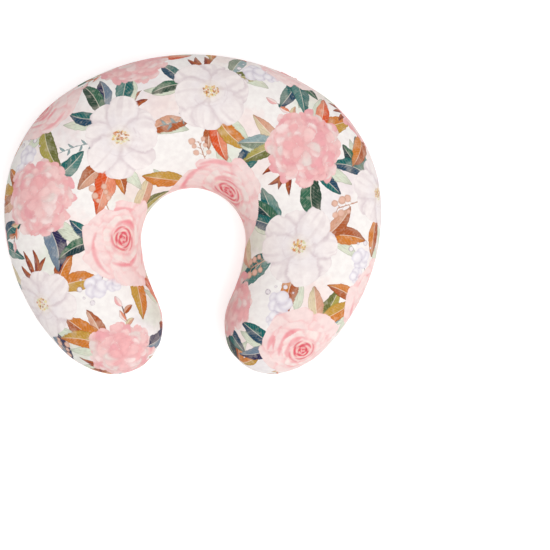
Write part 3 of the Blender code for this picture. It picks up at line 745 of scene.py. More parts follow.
class Print:
    """Watercolour print: the colours at every point of the panel laid flat.

    Leaves and blooms are two layers over the ground. Each holds the distance inside its nearest edge,
    so that the material can draw the edge crisply, and leaves hold their own length and cross
    directions for the midrib, the side veins and the brush marks. Angles of motifs are in degrees.
    """

    MARGIN = 5.0 * MM

    def __init__(self, flat):
        self.flat = flat
        self.order = np.argsort(flat[:, 0], kind="stable")
        self.sorted_x = flat[self.order, 0]
        self.ground = np.tile(GROUND, (len(flat), 1))
        self.leaf_left, self.leaf_right, self.bloom = (self.ground.copy() for _ in range(3))
        self.leaf_edge = np.full(len(flat), -self.MARGIN)
        self.bloom_edge = self.leaf_edge.copy()
        self.leaf_flow = np.zeros((len(flat), 3))
        self.wobble = lattice_noise(flat, 7.0 * MM, 6) + 0.5 * lattice_noise(flat, 2.8 * MM, 7) - 0.75
        self.cloud = lattice_noise(flat, 11.0 * MM, 8)
        self.leaves = 0

    def store(self, piece):
        """Keep the layers on a piece's vertices, where floral_jersey reads them."""
        kinds = {"FLOAT_COLOR": ("ground", "leaf_left", "leaf_right", "bloom"),
                 "FLOAT": ("leaf_edge", "bloom_edge"), "FLOAT_VECTOR": ("leaf_flow",)}
        for kind, names in kinds.items():
            for name in names:
                set_attribute(piece, name, kind, getattr(self, name))

    def near(self, centre, reach):
        """The points within a reach of a centre, and a margin more."""
        reach = reach + self.MARGIN
        low, high = np.searchsorted(self.sorted_x, (centre[0] - reach, centre[0] + reach))
        strip = self.order[low:high]
        return strip[np.hypot(*(self.flat[strip] - centre).T) < reach]

    def lay_bloom(self, where, inside, colour):
        """Paint a shape over the blooms: inside is the distance in from its edge."""
        take = (inside > 0.0) | (inside > self.bloom_edge[where])
        self.bloom[where[take]] = colour[take]
        self.bloom_edge[where[take]] = inside[take]

    def tint(self, where, share, colour):
        """Wash a colour into the blooms already there."""
        self.bloom[where] = blend_colours(self.bloom[where], colour, share)

    def cast(self, where, inside, colour, reach, strength):
        """Darken what lies just outside a shape that is about to be painted over it."""
        share = strength * step_between(inside, -reach, 0.0) * (0.5 + self.cloud[where])
        self.tint(where, np.clip(share, 0.0, 1.0), colour)

    def wash(self, centre, radius, colour, strength):
        """A soft stain on the ground."""
        away = np.hypot(*(self.flat - centre).T) / radius + self.wobble * 0.4
        self.ground = blend_colours(self.ground, colour, strength * (1.0 - step_between(away, 0.2, 1.0)))

    def lobe(self, start, end, width, bow, profile):
        """The points near a leaf or petal, with four distances at each of them.

        They are how far along it, how far off its bent middle line, half its width there, and how far
        in from its edge. bow and profile say how its middle line and its width run along it.
        """
        axis = end - start
        length = np.hypot(*axis)
        where = self.near(0.5 * (start + end), 0.5 * (length + width))
        place = self.flat[where] - start
        along = place @ axis / length ** 2
        inner = np.clip(along, 0.0, 1.0)
        across = place @ np.array([-axis[1], axis[0]]) / length - length * bow(inner)
        half = 0.5 * width * profile(inner)
        inside = half - np.abs(across) + self.wobble[where] * 0.09 * width
        past = np.maximum(np.maximum(-along, along - 1.0), 0.0) * length
        return where, along, across, half, np.where(past > 0.0, -np.hypot(past, across), inside)

    def leaf(self, start, end, width, left, right, bend=0.08, widest=0.45, rib=0.6):
        """A leaf from start to end, each half with its own colour, and a pale midrib."""
        power = math.log(0.5) / math.log(widest)
        where, along, across, half, inside = self.lobe(
            start, end, width, lambda t: bend * 4.0 * t * (1.0 - t),
            lambda t: np.sin(math.pi * t ** power) ** 0.85)
        # A leaf that lies underneath ends where this one starts
        beside = (inside <= 0.0) & (inside > -2.0 * MM) & (self.leaf_edge[where] > 0.0)
        under = where[beside]
        self.leaf_edge[under] = np.minimum(self.leaf_edge[under], 0.3 * MM - inside[beside])
        take = (inside > 0.0) | (inside > self.leaf_edge[where])
        at = where[take]
        share = 0.5 * step_between(along[take], 0.70, 1.05)
        light = 0.22 * step_between(self.cloud[at], 0.5, 0.95)
        for colours, tone in ((self.leaf_left, left), (self.leaf_right, right)):
            tones = blend_colours(np.tile(tone, (len(at), 1)), CREAM, light)
            colours[at] = blend_colours(tones, tones * 0.5, share)
        self.leaf_edge[at] = inside[take]
        self.leaves += 1
        # Each leaf's marks start elsewhere in the noise
        run = along[take] * np.hypot(*(end - start)) + 0.173 * self.leaves
        strength = rib * step_between(1.0 - along[take], 0.0, 0.25)
        self.leaf_flow[at] = np.stack([run, across[take], strength], axis=1)

    def stem(self, places, width, colour):
        """A thin line through places."""
        best = np.full(len(self.flat), 1.0)
        for start, end in zip(places[:-1], places[1:]):
            way = end - start
            share = np.clip((self.flat - start) @ way / (way @ way), 0.0, 1.0)
            best = np.minimum(best, np.hypot(*(self.flat - start - share[:, None] * way).T))
        where = np.nonzero(best < self.MARGIN)[0]
        inside = 0.5 * width - best[where]
        take = (inside > 0.0) | (inside > self.leaf_edge[where])
        at = where[take]
        self.leaf_left[at] = self.leaf_right[at] = colour
        self.leaf_edge[at] = inside[take]
        self.leaf_flow[at] = 0.0

    def disc(self, centre, size, colour, rim, shadow=None, rim_start=0.45):
        """A round spot with a darker watercolour rim."""
        where = self.near(centre, size)
        away = np.hypot(*(self.flat[where] - centre).T)
        inside = size - away + self.wobble[where] * 0.22 * size
        if shadow is not None:
            self.cast(where, inside, shadow, 0.5 * size, 0.5)
        share = step_between(away / size, rim_start, 1.05)
        self.lay_bloom(where, inside, blend_colours(np.tile(colour, (len(where), 1)), rim, share))

    def petal(self, origin, angle, length, width, body, base, shade, bend, shadow, depth, blunt=0.35):
        """A broad petal, body coloured with its base washed in to a depth, over a soft shadow."""
        rise = 0.62
        peak = rise / (rise + blunt)
        where, along, across, half, inside = self.lobe(
            origin, origin + length * direction(angle), width, lambda t: bend * t * t,
            lambda t: (t / peak) ** rise * ((1.0 - t) / (1.0 - peak)) ** blunt)
        self.cast(where, inside, shade, 7.0 * MM, shadow)
        fan = np.clip(across / np.maximum(half, 1.0 * MM), -1.0, 1.0)
        grain = np.stack([4.0 * fan + angle, 1.2 * np.clip(along, 0.0, 1.0)], axis=1)
        veins = lattice_noise(grain, 1.0, 21)
        tone = np.tile(body, (len(where), 1))
        flare = step_between(along + 0.25 * (veins - 0.5), 0.08, 0.75)
        tone = blend_colours(tone, base, depth * (1.0 - flare))
        tone = blend_colours(tone, shade, 0.50 * depth * step_between(veins, 0.5, 0.95))
        tone = blend_colours(tone, shade, 0.22 * step_between(fan + 0.5 * self.cloud[where], 0.5, 1.4))
        tone = blend_colours(tone, shade, PETAL_RIM * (1.0 - step_between(inside, 0.0, 2.5 * MM)))
        self.lay_bloom(where, inside, tone)

    def stroke(self, origin, radius, start, sweep, width, colour, strength, drift=0.0):
        """A tapering crescent brush mark round a place, from start through sweep, both in radians."""
        where = self.near(origin, radius * (1.0 + max(drift, 0.0)) + width)
        place = self.flat[where] - origin
        turn = np.mod(np.arctan2(place[:, 1], place[:, 0]) - start, FULL_TURN) / sweep
        t = np.clip(turn, 0.0, 1.0)
        half = 0.5 * width * np.sin(math.pi * t) ** 0.6 * (0.7 + 0.6 * self.cloud[where])
        gap = half - np.abs(np.hypot(*place.T) - radius * (1.0 + drift * t))
        share = strength * step_between(gap, -0.25 * width, 0.35 * width) * (turn < 1.0)
        self.tint(where, share, colour)

    def white_flower(self, centre, size, random):
        """An open flower of eight white petals, with a glow and a heap of anthers at its heart."""
        start = random.uniform(0.0, 360.0)
        petals = [(start + 135.0 * step + random.uniform(-9.0, 9.0), size * random.uniform(0.86, 1.08),
                   size * random.uniform(0.70, 0.86)) for step in range(8)]
        seed = int(random.integers(1000))
        own = np.random.default_rng(seed)
        heart = 0.20 * size
        for angle, length, width in petals:
            self.petal(centre, angle, length, width, WHITE_PETAL, LILAC_PALE, PETAL_SHADE,
                       own.uniform(-0.12, 0.12), 0.8, 0.9)
        for _ in range(9):
            self.stroke(centre, heart * own.uniform(1.2, 2.4), own.uniform(0.0, 6.3), own.uniform(0.5, 1.1),
                        1.6 * MM, PETAL_SHADE, 0.5)
        where = self.near(centre, 2.2 * heart)
        away = np.hypot(*(self.flat[where] - centre).T)
        self.tint(where, 0.45 * (1.0 - step_between(away, 0.6 * heart, 2.2 * heart)), CREAM)
        own = np.random.default_rng(seed + 1)
        for _ in range(70):
            angle = own.uniform(0.0, FULL_TURN)
            away = heart * math.sqrt(own.uniform(0.0, 1.0))
            tone = ANTHERS[own.integers(len(ANTHERS))]
            place = centre + away * np.array([math.cos(angle), 0.85 * math.sin(angle)])
            self.disc(place, 1.4 * MM * own.uniform(0.7, 1.3), tone, tone * 0.85)

    def rose(self, centre, radius, random):
        """A full rose: rings of broad pale petals round a deep heart of curled brush marks."""
        heart = centre + 0.12 * radius * direction(random.uniform(0.0, 360.0))
        own = np.random.default_rng(int(random.integers(1000)))
        curl = random.uniform(0.0, 6.3)
        for level, (length, width, count, body, base, depth) in enumerate(ROSE_RINGS):
            origin = centre + (heart - centre) * level / (len(ROSE_RINGS) - 1)
            first = own.uniform(0.0, 360.0)
            for step in range(count):
                angle = first + 360.0 * (step + own.uniform(-0.18, 0.18)) / count
                size = radius * own.uniform(0.92, 1.08)
                self.petal(origin, angle, length * size, width * size, body, base, ROSE,
                           own.uniform(-0.2, 0.2), 0.40, depth, 0.22)
            for _ in range(4):
                self.stroke(origin, (0.80 - 0.18 * level) * radius * own.uniform(0.8, 1.05),
                            own.uniform(0.0, 6.3), own.uniform(0.7, 1.5), 0.12 * radius, ROSE_MID, 0.6,
                            own.uniform(-0.2, 0.2))
        core = 0.36 * radius
        where = self.near(heart, core)
        away = np.hypot(*(self.flat[where] - heart).T)
        inside = core - away + self.wobble[where] * 0.2 * core
        self.cast(where, inside, ROSE, 6.0 * MM, 0.7)
        tones = np.tile(BLUSH, (len(where), 1))
        self.lay_bloom(where, inside, blend_colours(tones, ROSE, 0.5 + 0.5 * step_between(-away, -core, 0.0)))
        for step, share in enumerate(np.linspace(0.0, 1.0, 13)):
            tone = ROSE + (ROSE_DEEP - ROSE) * min(1.0, 0.5 + share)
            self.stroke(heart, core * (0.98 - 0.86 * share), curl + 2.4 * step, 1.4 + 1.2 * share,
                        core * 0.20, tone, 0.9, own.uniform(-0.25, 0.1))
            self.stroke(heart, core * (0.90 - 0.80 * share), curl + 1.1 + 2.4 * step, 1.3, core * 0.09, CREAM,
                        0.7, own.uniform(-0.2, 0.1))

    def peony(self, centre, size, random):
        """A ruffled head of many small overlapping petals, laid from its rim to its middle."""
        own = np.random.default_rng(int(random.integers(1000)))
        self.disc(centre, 0.9 * size, PEONY_TONES[0], PEONY_TONES[2], ROSE)
        for step in range(PEONY_PETALS):
            angle = GOLDEN_ANGLE * step + own.uniform(-14.0, 14.0)
            away = 0.80 * size * math.sqrt(1.0 - step / PEONY_PETALS)
            tone = PEONY_TONES[own.integers(len(PEONY_TONES))]
            length = PEONY_PETAL * own.uniform(0.8, 1.35)
            self.petal(centre + away * direction(angle), angle + own.uniform(-55.0, 55.0), length,
                       length * own.uniform(0.55, 0.85), tone, ROSE, tone * 0.8 + ROSE_DEEP * 0.15,
                       own.uniform(-0.3, 0.3), 0.42, 0.5, 0.28)

    def boll(self, centre, size, random):
        """A cotton boll: soft round lobes with lilac shading between them."""
        start = np.random.default_rng(int(random.integers(1000))).uniform(0.0, FULL_TURN)
        for step in range(5):
            angle = start + FULL_TURN * step / 5
            place = centre + 0.48 * size * np.array([math.cos(angle), math.sin(angle)])
            self.disc(place, 0.52 * size, srgb(250, 245, 247), srgb(230, 223, 232), LILAC)


def leaf_fan(art, foot, heading, colours, random):
    """Leaves that spread from one foot, the longest in the middle, over one faint leaf."""
    count = int(random.integers(1, 4))
    order = random.permutation(len(colours))
    tip = foot + FAINT_LEAF * direction(heading + random.uniform(-70.0, 70.0))
    art.leaf(foot, tip, 0.3 * FAINT_LEAF, PALE_GREEN, PALE_GREEN, rib=0.0)
    for step in range(count):
        lean = FAN_SPREAD * ((step + 0.5) / count - 0.5) + random.uniform(-8.0, 8.0)
        length = LEAF_LENGTH * random.uniform(0.8, 1.15) * (1.0 - abs(lean) / 180.0)
        art.leaf(foot, foot + length * direction(heading + lean), length * random.uniform(0.31, 0.43),
                 *colours[order[step % len(colours)]], random.uniform(-0.12, 0.12),
                 random.uniform(0.38, 0.52))


def berry_branch(art, foot, heading, random):
    """A forked stem with berries at the ends of its side stems."""
    end = foot + BRANCH * direction(heading)
    art.stem((foot, end), STEM_WIDTH, TAN)
    for step in range(6):
        joint = foot + (end - foot) * (0.45 + 0.11 * step)
        lean = (55.0 if step % 2 else -55.0) + random.uniform(-15.0, 15.0)
        berry = joint + 10.0 * MM * direction(heading + lean)
        art.stem((joint, berry), 0.6 * STEM_WIDTH, TAN)
        art.disc(berry, random.uniform(3.2, 5.4) * MM, BERRY, TAN * 0.85, rim_start=0.6)


def bud_branch(art, foot, heading, random):
    """A bent stem with long pale buds on alternate sides."""
    bend = foot + 0.5 * BRANCH * direction(heading)
    end = bend + 0.5 * BRANCH * direction(heading + random.uniform(-35.0, 35.0))
    art.stem((foot, bend, end), STEM_WIDTH, BROWN)
    joints = (foot + 0.6 * (bend - foot), bend, bend + 0.5 * (end - bend), end)
    for step, (joint, tones) in enumerate(zip(joints, BUD_TONES)):
        tip = joint + 18.0 * MM * direction(heading + (38.0 if step % 2 else -38.0))
        art.leaf(joint, tip, 8.0 * MM, *tones, rib=0.0)


def bract_tuft(art, foot, heading, random):
    """Thin flame-like bracts from one foot."""
    for step in range(4):
        lean = 26.0 * (step - 1.5) + random.uniform(-6.0, 6.0)
        tip = foot + random.uniform(28.0, 44.0) * MM * direction(heading + lean)
        art.leaf(foot, tip, 8.5 * MM, BROWN_RED, RUST, random.uniform(-0.16, 0.16), rib=0.0)


def cotton_stem(art, foot, heading, random):
    """Two cotton bolls on a brown stem, with small beads beside them."""
    end = foot + 0.8 * BRANCH * direction(heading)
    art.stem((foot, end), STEM_WIDTH, BROWN)
    art.boll(end, random.uniform(15.0, 19.0) * MM, random)
    art.boll(foot + 24.0 * MM * direction(heading + 48.0), 12.0 * MM, random)
    for step in range(4):
        bead = end + 23.0 * MM * direction(heading - 80.0 + 34.0 * step)
        art.disc(bead, (3.6 if step % 2 else 1.8) * MM, LILAC_PALE, PLUM, rim_start=0.8)


def mist_sprig(art, foot, heading, random):
    """A stem with many small grey-green leaves on alternate sides."""
    bend = foot + 0.6 * BRANCH * direction(heading)
    end = bend + 0.6 * BRANCH * direction(heading + random.uniform(-40.0, 40.0))
    art.stem((foot, bend, end), 0.8 * STEM_WIDTH, MIST)
    side = 1.0
    for start, stop in ((foot, bend), (bend, end)):
        run = np.hypot(*(stop - start))
        way = (stop - start) / run
        for step in range(int(run / SPRIG_GAP)):
            place = start + way * SPRIG_GAP * (step + 0.5)
            tip = place + SPRIG_LEAF * (np.array([-way[1], way[0]]) * side + 0.8 * way)
            art.leaf(place, tip, 0.42 * SPRIG_LEAF, MIST, MIST, rib=0.0)
            side = -side


SMALL_MOTIFS = (berry_branch, cotton_stem, bud_branch, bract_tuft, mist_sprig)
HEADS = ((Print.rose, 54.0 * MM), (Print.white_flower, 52.0 * MM), (Print.peony, 46.0 * MM))


def repeat_heads(art):
    """The heads of the repeat that lie on or near the panel: centres, kinds, directions and cells."""
    random = np.random.default_rng(PRINT_SEED)
    for column, row in itertools.product(REPEAT_CELLS, REPEAT_CELLS):
        place = np.array([column * REPEAT_ACROSS, (row + 0.5 * (column % 2)) * REPEAT_DOWN])
        centre = place + REPEAT_START + random.uniform(-REPEAT_SWAY, REPEAT_SWAY, 2)
        turn = random.uniform(0.0, 60.0)
        if np.hypot(*(art.flat - centre).T).min() < HEAD_REACH:
            yield centre, HEADS[(2 * column + row) % len(HEADS)], turn, column, row


def paint(art):
    """The whole repeat: washes first, then leaves and small motifs, then the large flowers."""
    random = np.random.default_rng(PRINT_SEED + 1)
    heads = list(repeat_heads(art))
    for number, (centre, kind, turn, column, row) in enumerate(heads):
        for side in range(3):
            stain = centre + HEAD_REACH * direction(turn + 120.0 * side + 30.0)
            art.wash(stain, STAIN_SIZE, STAINS[(number + side) % len(STAINS)], 0.6)
    for centre, (flower, size), turn, column, row in heads:
        for side in range(3):
            heading = turn + 120.0 * side
            colours = LEAF_SETS[(column + 2 * row + side) % len(LEAF_SETS)]
            leaf_fan(art, centre + HEAD_RIM * size * direction(heading), heading, colours, random)
        for side in range(2):
            heading = turn + 60.0 + 120.0 * side
            motif = SMALL_MOTIFS[(2 * column + 3 * row + side) % len(SMALL_MOTIFS)]
            motif(art, centre + HEAD_RIM * size * direction(heading), heading, random)
    for centre, (flower, size), turn, column, row in heads:
        flower(art, centre, size * random.uniform(0.94, 1.06), random)


# ---------------------------------------------------------------- materials

def leaf_ink(look, edge):
    """A leaf's two halves, its brush streaks, side veins and midrib."""
    flow = look.attribute("leaf_flow", "Vector")
    along, across, rib = look.add("SeparateXYZ", {"Vector": flow}).outputs
    half = look.ramp(across, -0.25 * MM, 0.25 * MM)
    ink = look.mix(half, look.attribute("leaf_right"), look.attribute("leaf_left"))
    inner = look.ramp(edge, 0.8 * MM, 2.4 * MM)
    streaks = look.ramp(look.noise(look.stretch(flow, (0.22, 1.0, 0.0)), 1.6 * MM), 0.42, 0.72, 0.0, 0.45)
    darker = look.mix(1.0, ink, srgb(196, 186, 180), "MULTIPLY")
    ink = look.mix(look.maths("MULTIPLY", streaks, inner), ink, darker)
    blots = look.ramp(look.noise(flow, 6.0 * MM, 4.0), 0.50, 0.72, 0.0, 0.22)
    ink = look.mix(look.maths("MULTIPLY", blots, inner), ink, CREAM)
    away = look.maths("ABSOLUTE", across)
    slant = look.maths("SUBTRACT", along, look.maths("MULTIPLY", away, 0.9))
    veins = look.maths("SINE", look.maths("MULTIPLY", slant, FULL_TURN / VEIN_PITCH))
    fade = look.maths("MULTIPLY", rib, inner)
    ink = look.mix(look.maths("MULTIPLY", look.ramp(veins, 0.84, 1.0, 0.0, 0.22), fade), ink, CREAM)
    midrib = look.ramp(away, 0.25 * MM, 0.75 * MM, 1.0, 0.0)
    return look.mix(look.maths("MULTIPLY", midrib, fade), ink, CREAM)


def floral_jersey(look):
    """Knitted jersey with the print's leaves and blooms over its ground."""
    place = look.cloth_place()
    rough = look.ramp(look.noise(place, 3.5 * MM), 0.25, 0.75, -0.4 * MM, 0.4 * MM, "LINEAR")
    leaf, bloom = (look.maths("ADD", look.attribute(name, "Fac"), rough)
                   for name in ("leaf_edge", "bloom_edge"))
    colour = look.attribute("ground")
    for edge, ink, pool, soft in ((leaf, leaf_ink(look, leaf), 0.55, 0.45 * MM),
                                  (bloom, look.attribute("bloom"), 0.0, 1.0 * MM)):
        pooled = look.mix(1.0, ink, srgb(190, 180, 176), "MULTIPLY")
        ink = look.mix(look.ramp(edge, 0.1 * MM, 1.5 * MM, pool, 0.0), ink, pooled)
        colour = look.mix(look.ramp(edge, -soft, soft), colour, ink)
    paper = look.ramp(look.noise(place, 9.0 * MM, 6.0), 0.3, 0.7)
    tint = look.mix(paper, srgb(247, 245, 246), srgb(255, 255, 255))
    colour = look.mix(1.0, colour, tint, "MULTIPLY")
    wales = look.waves(place, JERSEY_PITCH, "X", 1.0)
    courses = look.waves(place, 0.8 * JERSEY_PITCH, "Y", 1.0)
    fuzz = look.noise(place, 1.2 * MM)
    height = look.maths("ADD", look.maths("MULTIPLY", wales, courses), fuzz)
    look.finish(colour, height, 0.08 * MM, 0.6, look.ramp(fuzz, 0.2, 0.8, 0.78, 0.92), (0.10, 0.5, 0.25))


def pink_velour(look):
    place = look.cloth_place()
    brushed_nap_and_sheen = look.noise(place, 30.0 * MM, 4.0)
    pile = look.noise(place, 1.1 * MM, 2.0)
    # Painted sheen: the velour is coloured lighter where the broad brushing noise is high, as a mottled
    # sheen; the same noise also raises the bump.
    colour = look.mix(look.ramp(brushed_nap_and_sheen, 0.35, 0.65), srgb(242, 203, 198), srgb(249, 217, 212))
    colour = look.mix(look.ramp(pile, 0.3, 0.7, 0.0, 0.35), colour, srgb(228, 184, 180))
    height = look.maths("ADD", pile, look.maths("MULTIPLY", brushed_nap_and_sheen, 0.6))
    look.finish(colour, height, 0.2 * MM, 0.4, look.ramp(pile, 0.2, 0.8, 0.82, 0.96), (0.35, 0.4, 0.2))


def white_cotton(look):
    place = look.cloth_place()
    weave = look.maths("MULTIPLY", *(look.waves(place, 0.9 * MM, way, 0.6) for way in "XY"))
    slub = look.noise(look.stretch(place, (1.0, 0.2, 1.0)), 1.2 * MM)
    creases_and_shade = look.noise(place, 30.0 * MM, 5.0)
    colour = look.mix(look.ramp(slub, 0.35, 0.65), srgb(243, 240, 233), srgb(248, 246, 240))
    # Painted shade: the cotton is coloured darker where the crease noise is low, in the hollows that the same
    # noise sinks into the bump.
    colour = look.mix(look.ramp(creases_and_shade, 0.3, 0.6, 0.25, 0.0), colour, srgb(232, 228, 220))
    height = look.maths("ADD", weave, look.maths("MULTIPLY", creases_and_shade, 6.0))
    look.finish(colour, height, 0.12 * MM, 0.7, 0.88, (0.05, 0.5, 0.25))


def fibre(look):
    place = look.cloth_place()
    strands = look.noise(place, 3.0 * MM, 5.0, 4.0)
    tufts = look.maths("ADD", look.noise(place, 14.0 * MM, 6.0), look.maths("MULTIPLY", strands, 0.5))
    # Painted shade: the fibre is coloured darker where the tuft noise is low, in the hollows that the same
    # noise sinks into the bump.
    colour = look.mix(look.ramp(tufts, 0.55, 0.95), srgb(243, 243, 242), srgb(253, 253, 251))
    look.finish(colour, tufts, 1.5 * MM, 0.8, 0.95, (0.4, 0.5, 0.25))


def zip_tape(look):
    """Herringbone twill: ridges that turn back every 1.4 mm across the tape."""
    place = look.cloth_place()
    along, across, _ = look.add("SeparateXYZ", {"Vector": place}).outputs
    twill = look.maths("ADD", along, look.maths("PINGPONG", across, 1.4 * MM))
    ridges = look.maths("SINE", look.maths("MULTIPLY", twill, FULL_TURN / (0.9 * MM)))
    fuzz = look.noise(place, 0.8 * MM)
    colour = look.mix(look.ramp(ridges, -1.0, 1.0), srgb(224, 178, 172), srgb(242, 204, 199))
    colour = look.mix(look.ramp(fuzz, 0.3, 0.7, 0.0, 0.3), colour, srgb(246, 216, 212))
    look.finish(colour, look.maths("ADD", ridges, fuzz), 0.06 * MM, 0.7, 0.85, (0.1, 0.5, 0.25))


def zip_coil(look):
    fine = look.noise(look.object_place(), 1.0 * MM)
    colour = look.mix(look.ramp(fine, 0.3, 0.7), srgb(233, 192, 187), srgb(243, 207, 202))
    look.finish(colour, fine, 0.02 * MM, 0.4, look.ramp(fine, 0.2, 0.8, 0.25, 0.45), coat=(0.15, 0.03))


def slider_enamel(look):
    place = look.object_place()
    broad = look.noise(place, 2.5 * MM)
    grain = look.noise(place, 0.35 * MM, 2.0)
    colour = look.mix(look.ramp(broad, 0.3, 0.7), srgb(238, 200, 195), srgb(247, 214, 209))
    look.finish(colour, grain, 0.015 * MM, 0.5, look.ramp(broad, 0.3, 0.7, 0.24, 0.42), coat=(0.4, 0.15))


def thread(look):
    twist = look.waves(look.object_place(), 0.45 * MM, "DIAGONAL", 0.5, 2.0)
    colour = look.mix(look.ramp(twist, 0.0, 1.0), srgb(232, 196, 192), srgb(250, 226, 222))
    look.finish(colour, twist, 0.04 * MM, 0.6, 0.65, (0.1, 0.5, 0.35))


def label(look):
    place = look.cloth_place()
    ribs = look.waves(place, 0.45 * MM, "Y")
    colour = look.mix(look.ramp(ribs, 0.0, 1.0, 0.0, 0.6), srgb(250, 249, 247), srgb(234, 232, 230))
    stain = look.ramp(look.noise(place, 5.0 * MM), 0.45, 0.7, 0.0, 0.25)
    colour = look.mix(stain, colour, srgb(240, 236, 236))
    look.finish(colour, ribs, 0.03 * MM, 0.5, 0.42, (0.15, 0.3, 0.5))


MADE = {}


def finish_piece(piece, make, body, *nodes):
    """Give a piece its material and body, and hide the CAD nodes it stands for."""
    slot = make.__name__
    if slot not in MADE:
        look = Look(slot)
        make(look)
        MADE[slot] = look.material
    piece.data.materials.append(MADE[slot])
    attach(piece, body)
    if nodes:
        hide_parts(*nodes)


# ---------------------------------------------------------------- cover, casing and fill

def add_panel(name, side, depth, cloth, edge, step, make, cad_node, shift=None):
    """A closed, padded panel of cloth, above the seam or below it."""
    thin = COARSE // step
    outer = layer(ring(step), edge(ring(step), side), side, step, depth, shift)
    inner_shift = None if shift is None else shift[::thin, ::thin]
    inner = layer(ring(COARSE), edge(ring(COARSE), side), side, COARSE, depth + cloth, inner_shift)
    piece = make_mesh(name, *closed_cloth(outer, inner, thin))
    flat = np.concatenate([outer.flat, inner.flat])
    set_cloth_place(piece, flat)
    if make is floral_jersey:
        art = Print(flat)
        paint(art)
        art.store(piece)
    finish_piece(piece, make, "pillow", cad_node)


def add_cover():
    tension = settled_cover()
    for name, side, make, cad_node in (("printed_cover_top", 1, floral_jersey, "cover_top_panel"),
                                       ("plain_cover_underside", -1, pink_velour, "cover_bottom_panel")):
        shift = cover_shift(ring(1), tension[side], side)
        add_panel(name, side, 0.0, COVER_CLOTH, slot_edge, 1, make, cad_node, shift)


def add_casing():
    for cad_node, side in (("casing_top_panel", 1), ("casing_bottom_panel", -1)):
        add_panel("cotton_" + cad_node, side, CASING_DEPTH, CASING_CLOTH, seam_edge, COARSE,
                  white_cotton, cad_node)


def add_fill():
    """Loose fibre: the closed form, dented inwards where the handfuls meet."""
    points, faces, top, bottom, place = closed_form(FILL_DEPTH)
    piece = make_mesh("fibre_filling", points, faces)
    normals = np.empty(len(points) * 3, dtype=np.float32)
    piece.data.vertices.foreach_get("normal", normals)
    lumps = lattice_noise(points[:, :2] + points[:, 2:3], 28.0 * MM, 81)
    tufts = lattice_noise(points[:, :2] - points[:, 2:3], 11.0 * MM, 82)
    dent = (3.0 * lumps + 1.5 * tufts) * MM
    moved = points - normals.reshape(-1, 3) * dent[:, None]
    moved[:, 2] = np.maximum(moved[:, 2], FILL_DEPTH)
    piece.data.vertices.foreach_set("co", moved.astype(np.float32).ravel())
    piece.data.update()
    flat = np.zeros((len(points), 2))
    flat[place] = bottom.flat
    flat[:len(top.flat)] = top.flat
    set_cloth_place(piece, flat)
    finish_piece(piece, fibre, "pillow", "fibre_fill")


# ---------------------------------------------------------------- strips, labels and stitches

def add_strip(name, front, back, make, cad_node, cyclic=False, flip=False):
    """A closed strip of cloth from its front and back grids of points. flip runs it the other way."""
    flat = laid_flat(front)
    if flip:
        front, back, flat = front[::-1], back[::-1], flat[::-1]
    count, width = front.shape[:2]
    points = np.concatenate([front.reshape(-1, 3), back.reshape(-1, 3)])
    index = np.arange(count * width).reshape(count, width)
    if cyclic:
        index = np.concatenate([index, index[:1]])
    other = index + count * width
    faces = grid_quads(index).tolist() + grid_quads(other)[:, ::-1].tolist()
    rims = [(index[::-1, 0], other[::-1, 0]), (index[:, -1], other[:, -1])]
    if not cyclic:
        rims += [(index[0], other[0]), (index[-1, ::-1], other[-1, ::-1])]
    for near, far in rims:
        faces += np.stack([near[:-1], far[:-1], far[1:], near[1:]], axis=-1).tolist()
    piece = make_mesh(name, points, faces)
    set_cloth_place(piece, np.concatenate([flat.reshape(-1, 2)] * 2))
    if make is floral_jersey:
        Print(np.zeros((len(points), 2))).store(piece)
    finish_piece(piece, make, "pillow", cad_node)


def laid_flat(grid):
    """Flat coordinates of a grid of points: along its first row, and across its rows."""
    along = np.cumsum(np.linalg.norm(np.diff(grid[:, 0], axis=0, prepend=grid[:1, 0]), axis=1))
    across = np.cumsum(np.linalg.norm(np.diff(grid, axis=1, prepend=grid[:, :1]), axis=2), axis=1)
    return np.stack(np.broadcast_arrays(along[:, None], across), axis=-1)


def add_thread(name, runs, radius, *nodes, make=thread, cyclic=False):
    """Thread along runs of points, in one curve object."""
    curve = bpy.data.curves.new(name, "CURVE")
    curve.dimensions = "3D"
    curve.bevel_depth = radius
    curve.bevel_resolution = 1
    curve.use_fill_caps = True
    for run in runs:
        spline = curve.splines.new("POLY")
        spline.points.add(len(run) - 1)
        spline.points.foreach_set("co", np.pad(run, ((0, 0), (0, 1)), constant_values=1.0).ravel())
        spline.use_cyclic_u = cyclic
        spline.use_smooth = True
    finish_piece(put_in_scene(name, curve), make, "pillow", *nodes)


def add_allowances():
    """The two turned-in seams, each with its overlocked free edge. The cover's stops at the zip."""
    whole = ring(2)
    keep = np.abs(whole.bearing) > ALLOWANCE_START
    part = Ring(*(column[keep] for column in whole))
    rows = np.linspace(SEAM_LATITUDE, ALLOWANCE_TOP_ROW, 8)[None, :]
    for name, ribs, depth, cloth, make in (
            ("cover_seam_allowance", part, ALLOWANCE_DEPTH, ALLOWANCE_CLOTH, floral_jersey),
            ("casing_seam_allowance", whole, CASING_ALLOWANCE_DEPTH, CASING_ALLOWANCE_CLOTH, white_cotton)):
        cyclic = ribs is whole
        add_strip("turned_in_" + name, form_points(ribs, rows, depth), form_points(ribs, rows, depth + cloth),
                  make, name, cyclic)
        number = np.arange(len(ribs.foot))
        edge = OVERLOCK_ROWS[number % 2][:, None]
        lift = np.where(number % 4 < 2, -0.1, 1.1)[:, None]
        run = form_points(ribs, edge, depth + 0.5 * cloth) + form_points(ribs, edge, depth + cloth * lift)
        add_thread("overlock_" + name, [0.5 * run[:, 0]], OVERLOCK_THREAD, cyclic=cyclic)


def add_labels():
    """Two blank satin labels."""
    for name, (start, end, low, high) in (("cover_care_label", CARE_LABEL), ("casing_label", CASING_LABEL)):
        ribs = some_ribs(np.linspace(start, end, 24))
        front, back = (form_points(ribs, np.linspace(low, high, 16)[None, :], depth)
                       for depth in (LABEL_DEPTH, LABEL_DEPTH + LABEL_CLOTH))
        add_strip("satin_" + name, front, back, label, name)


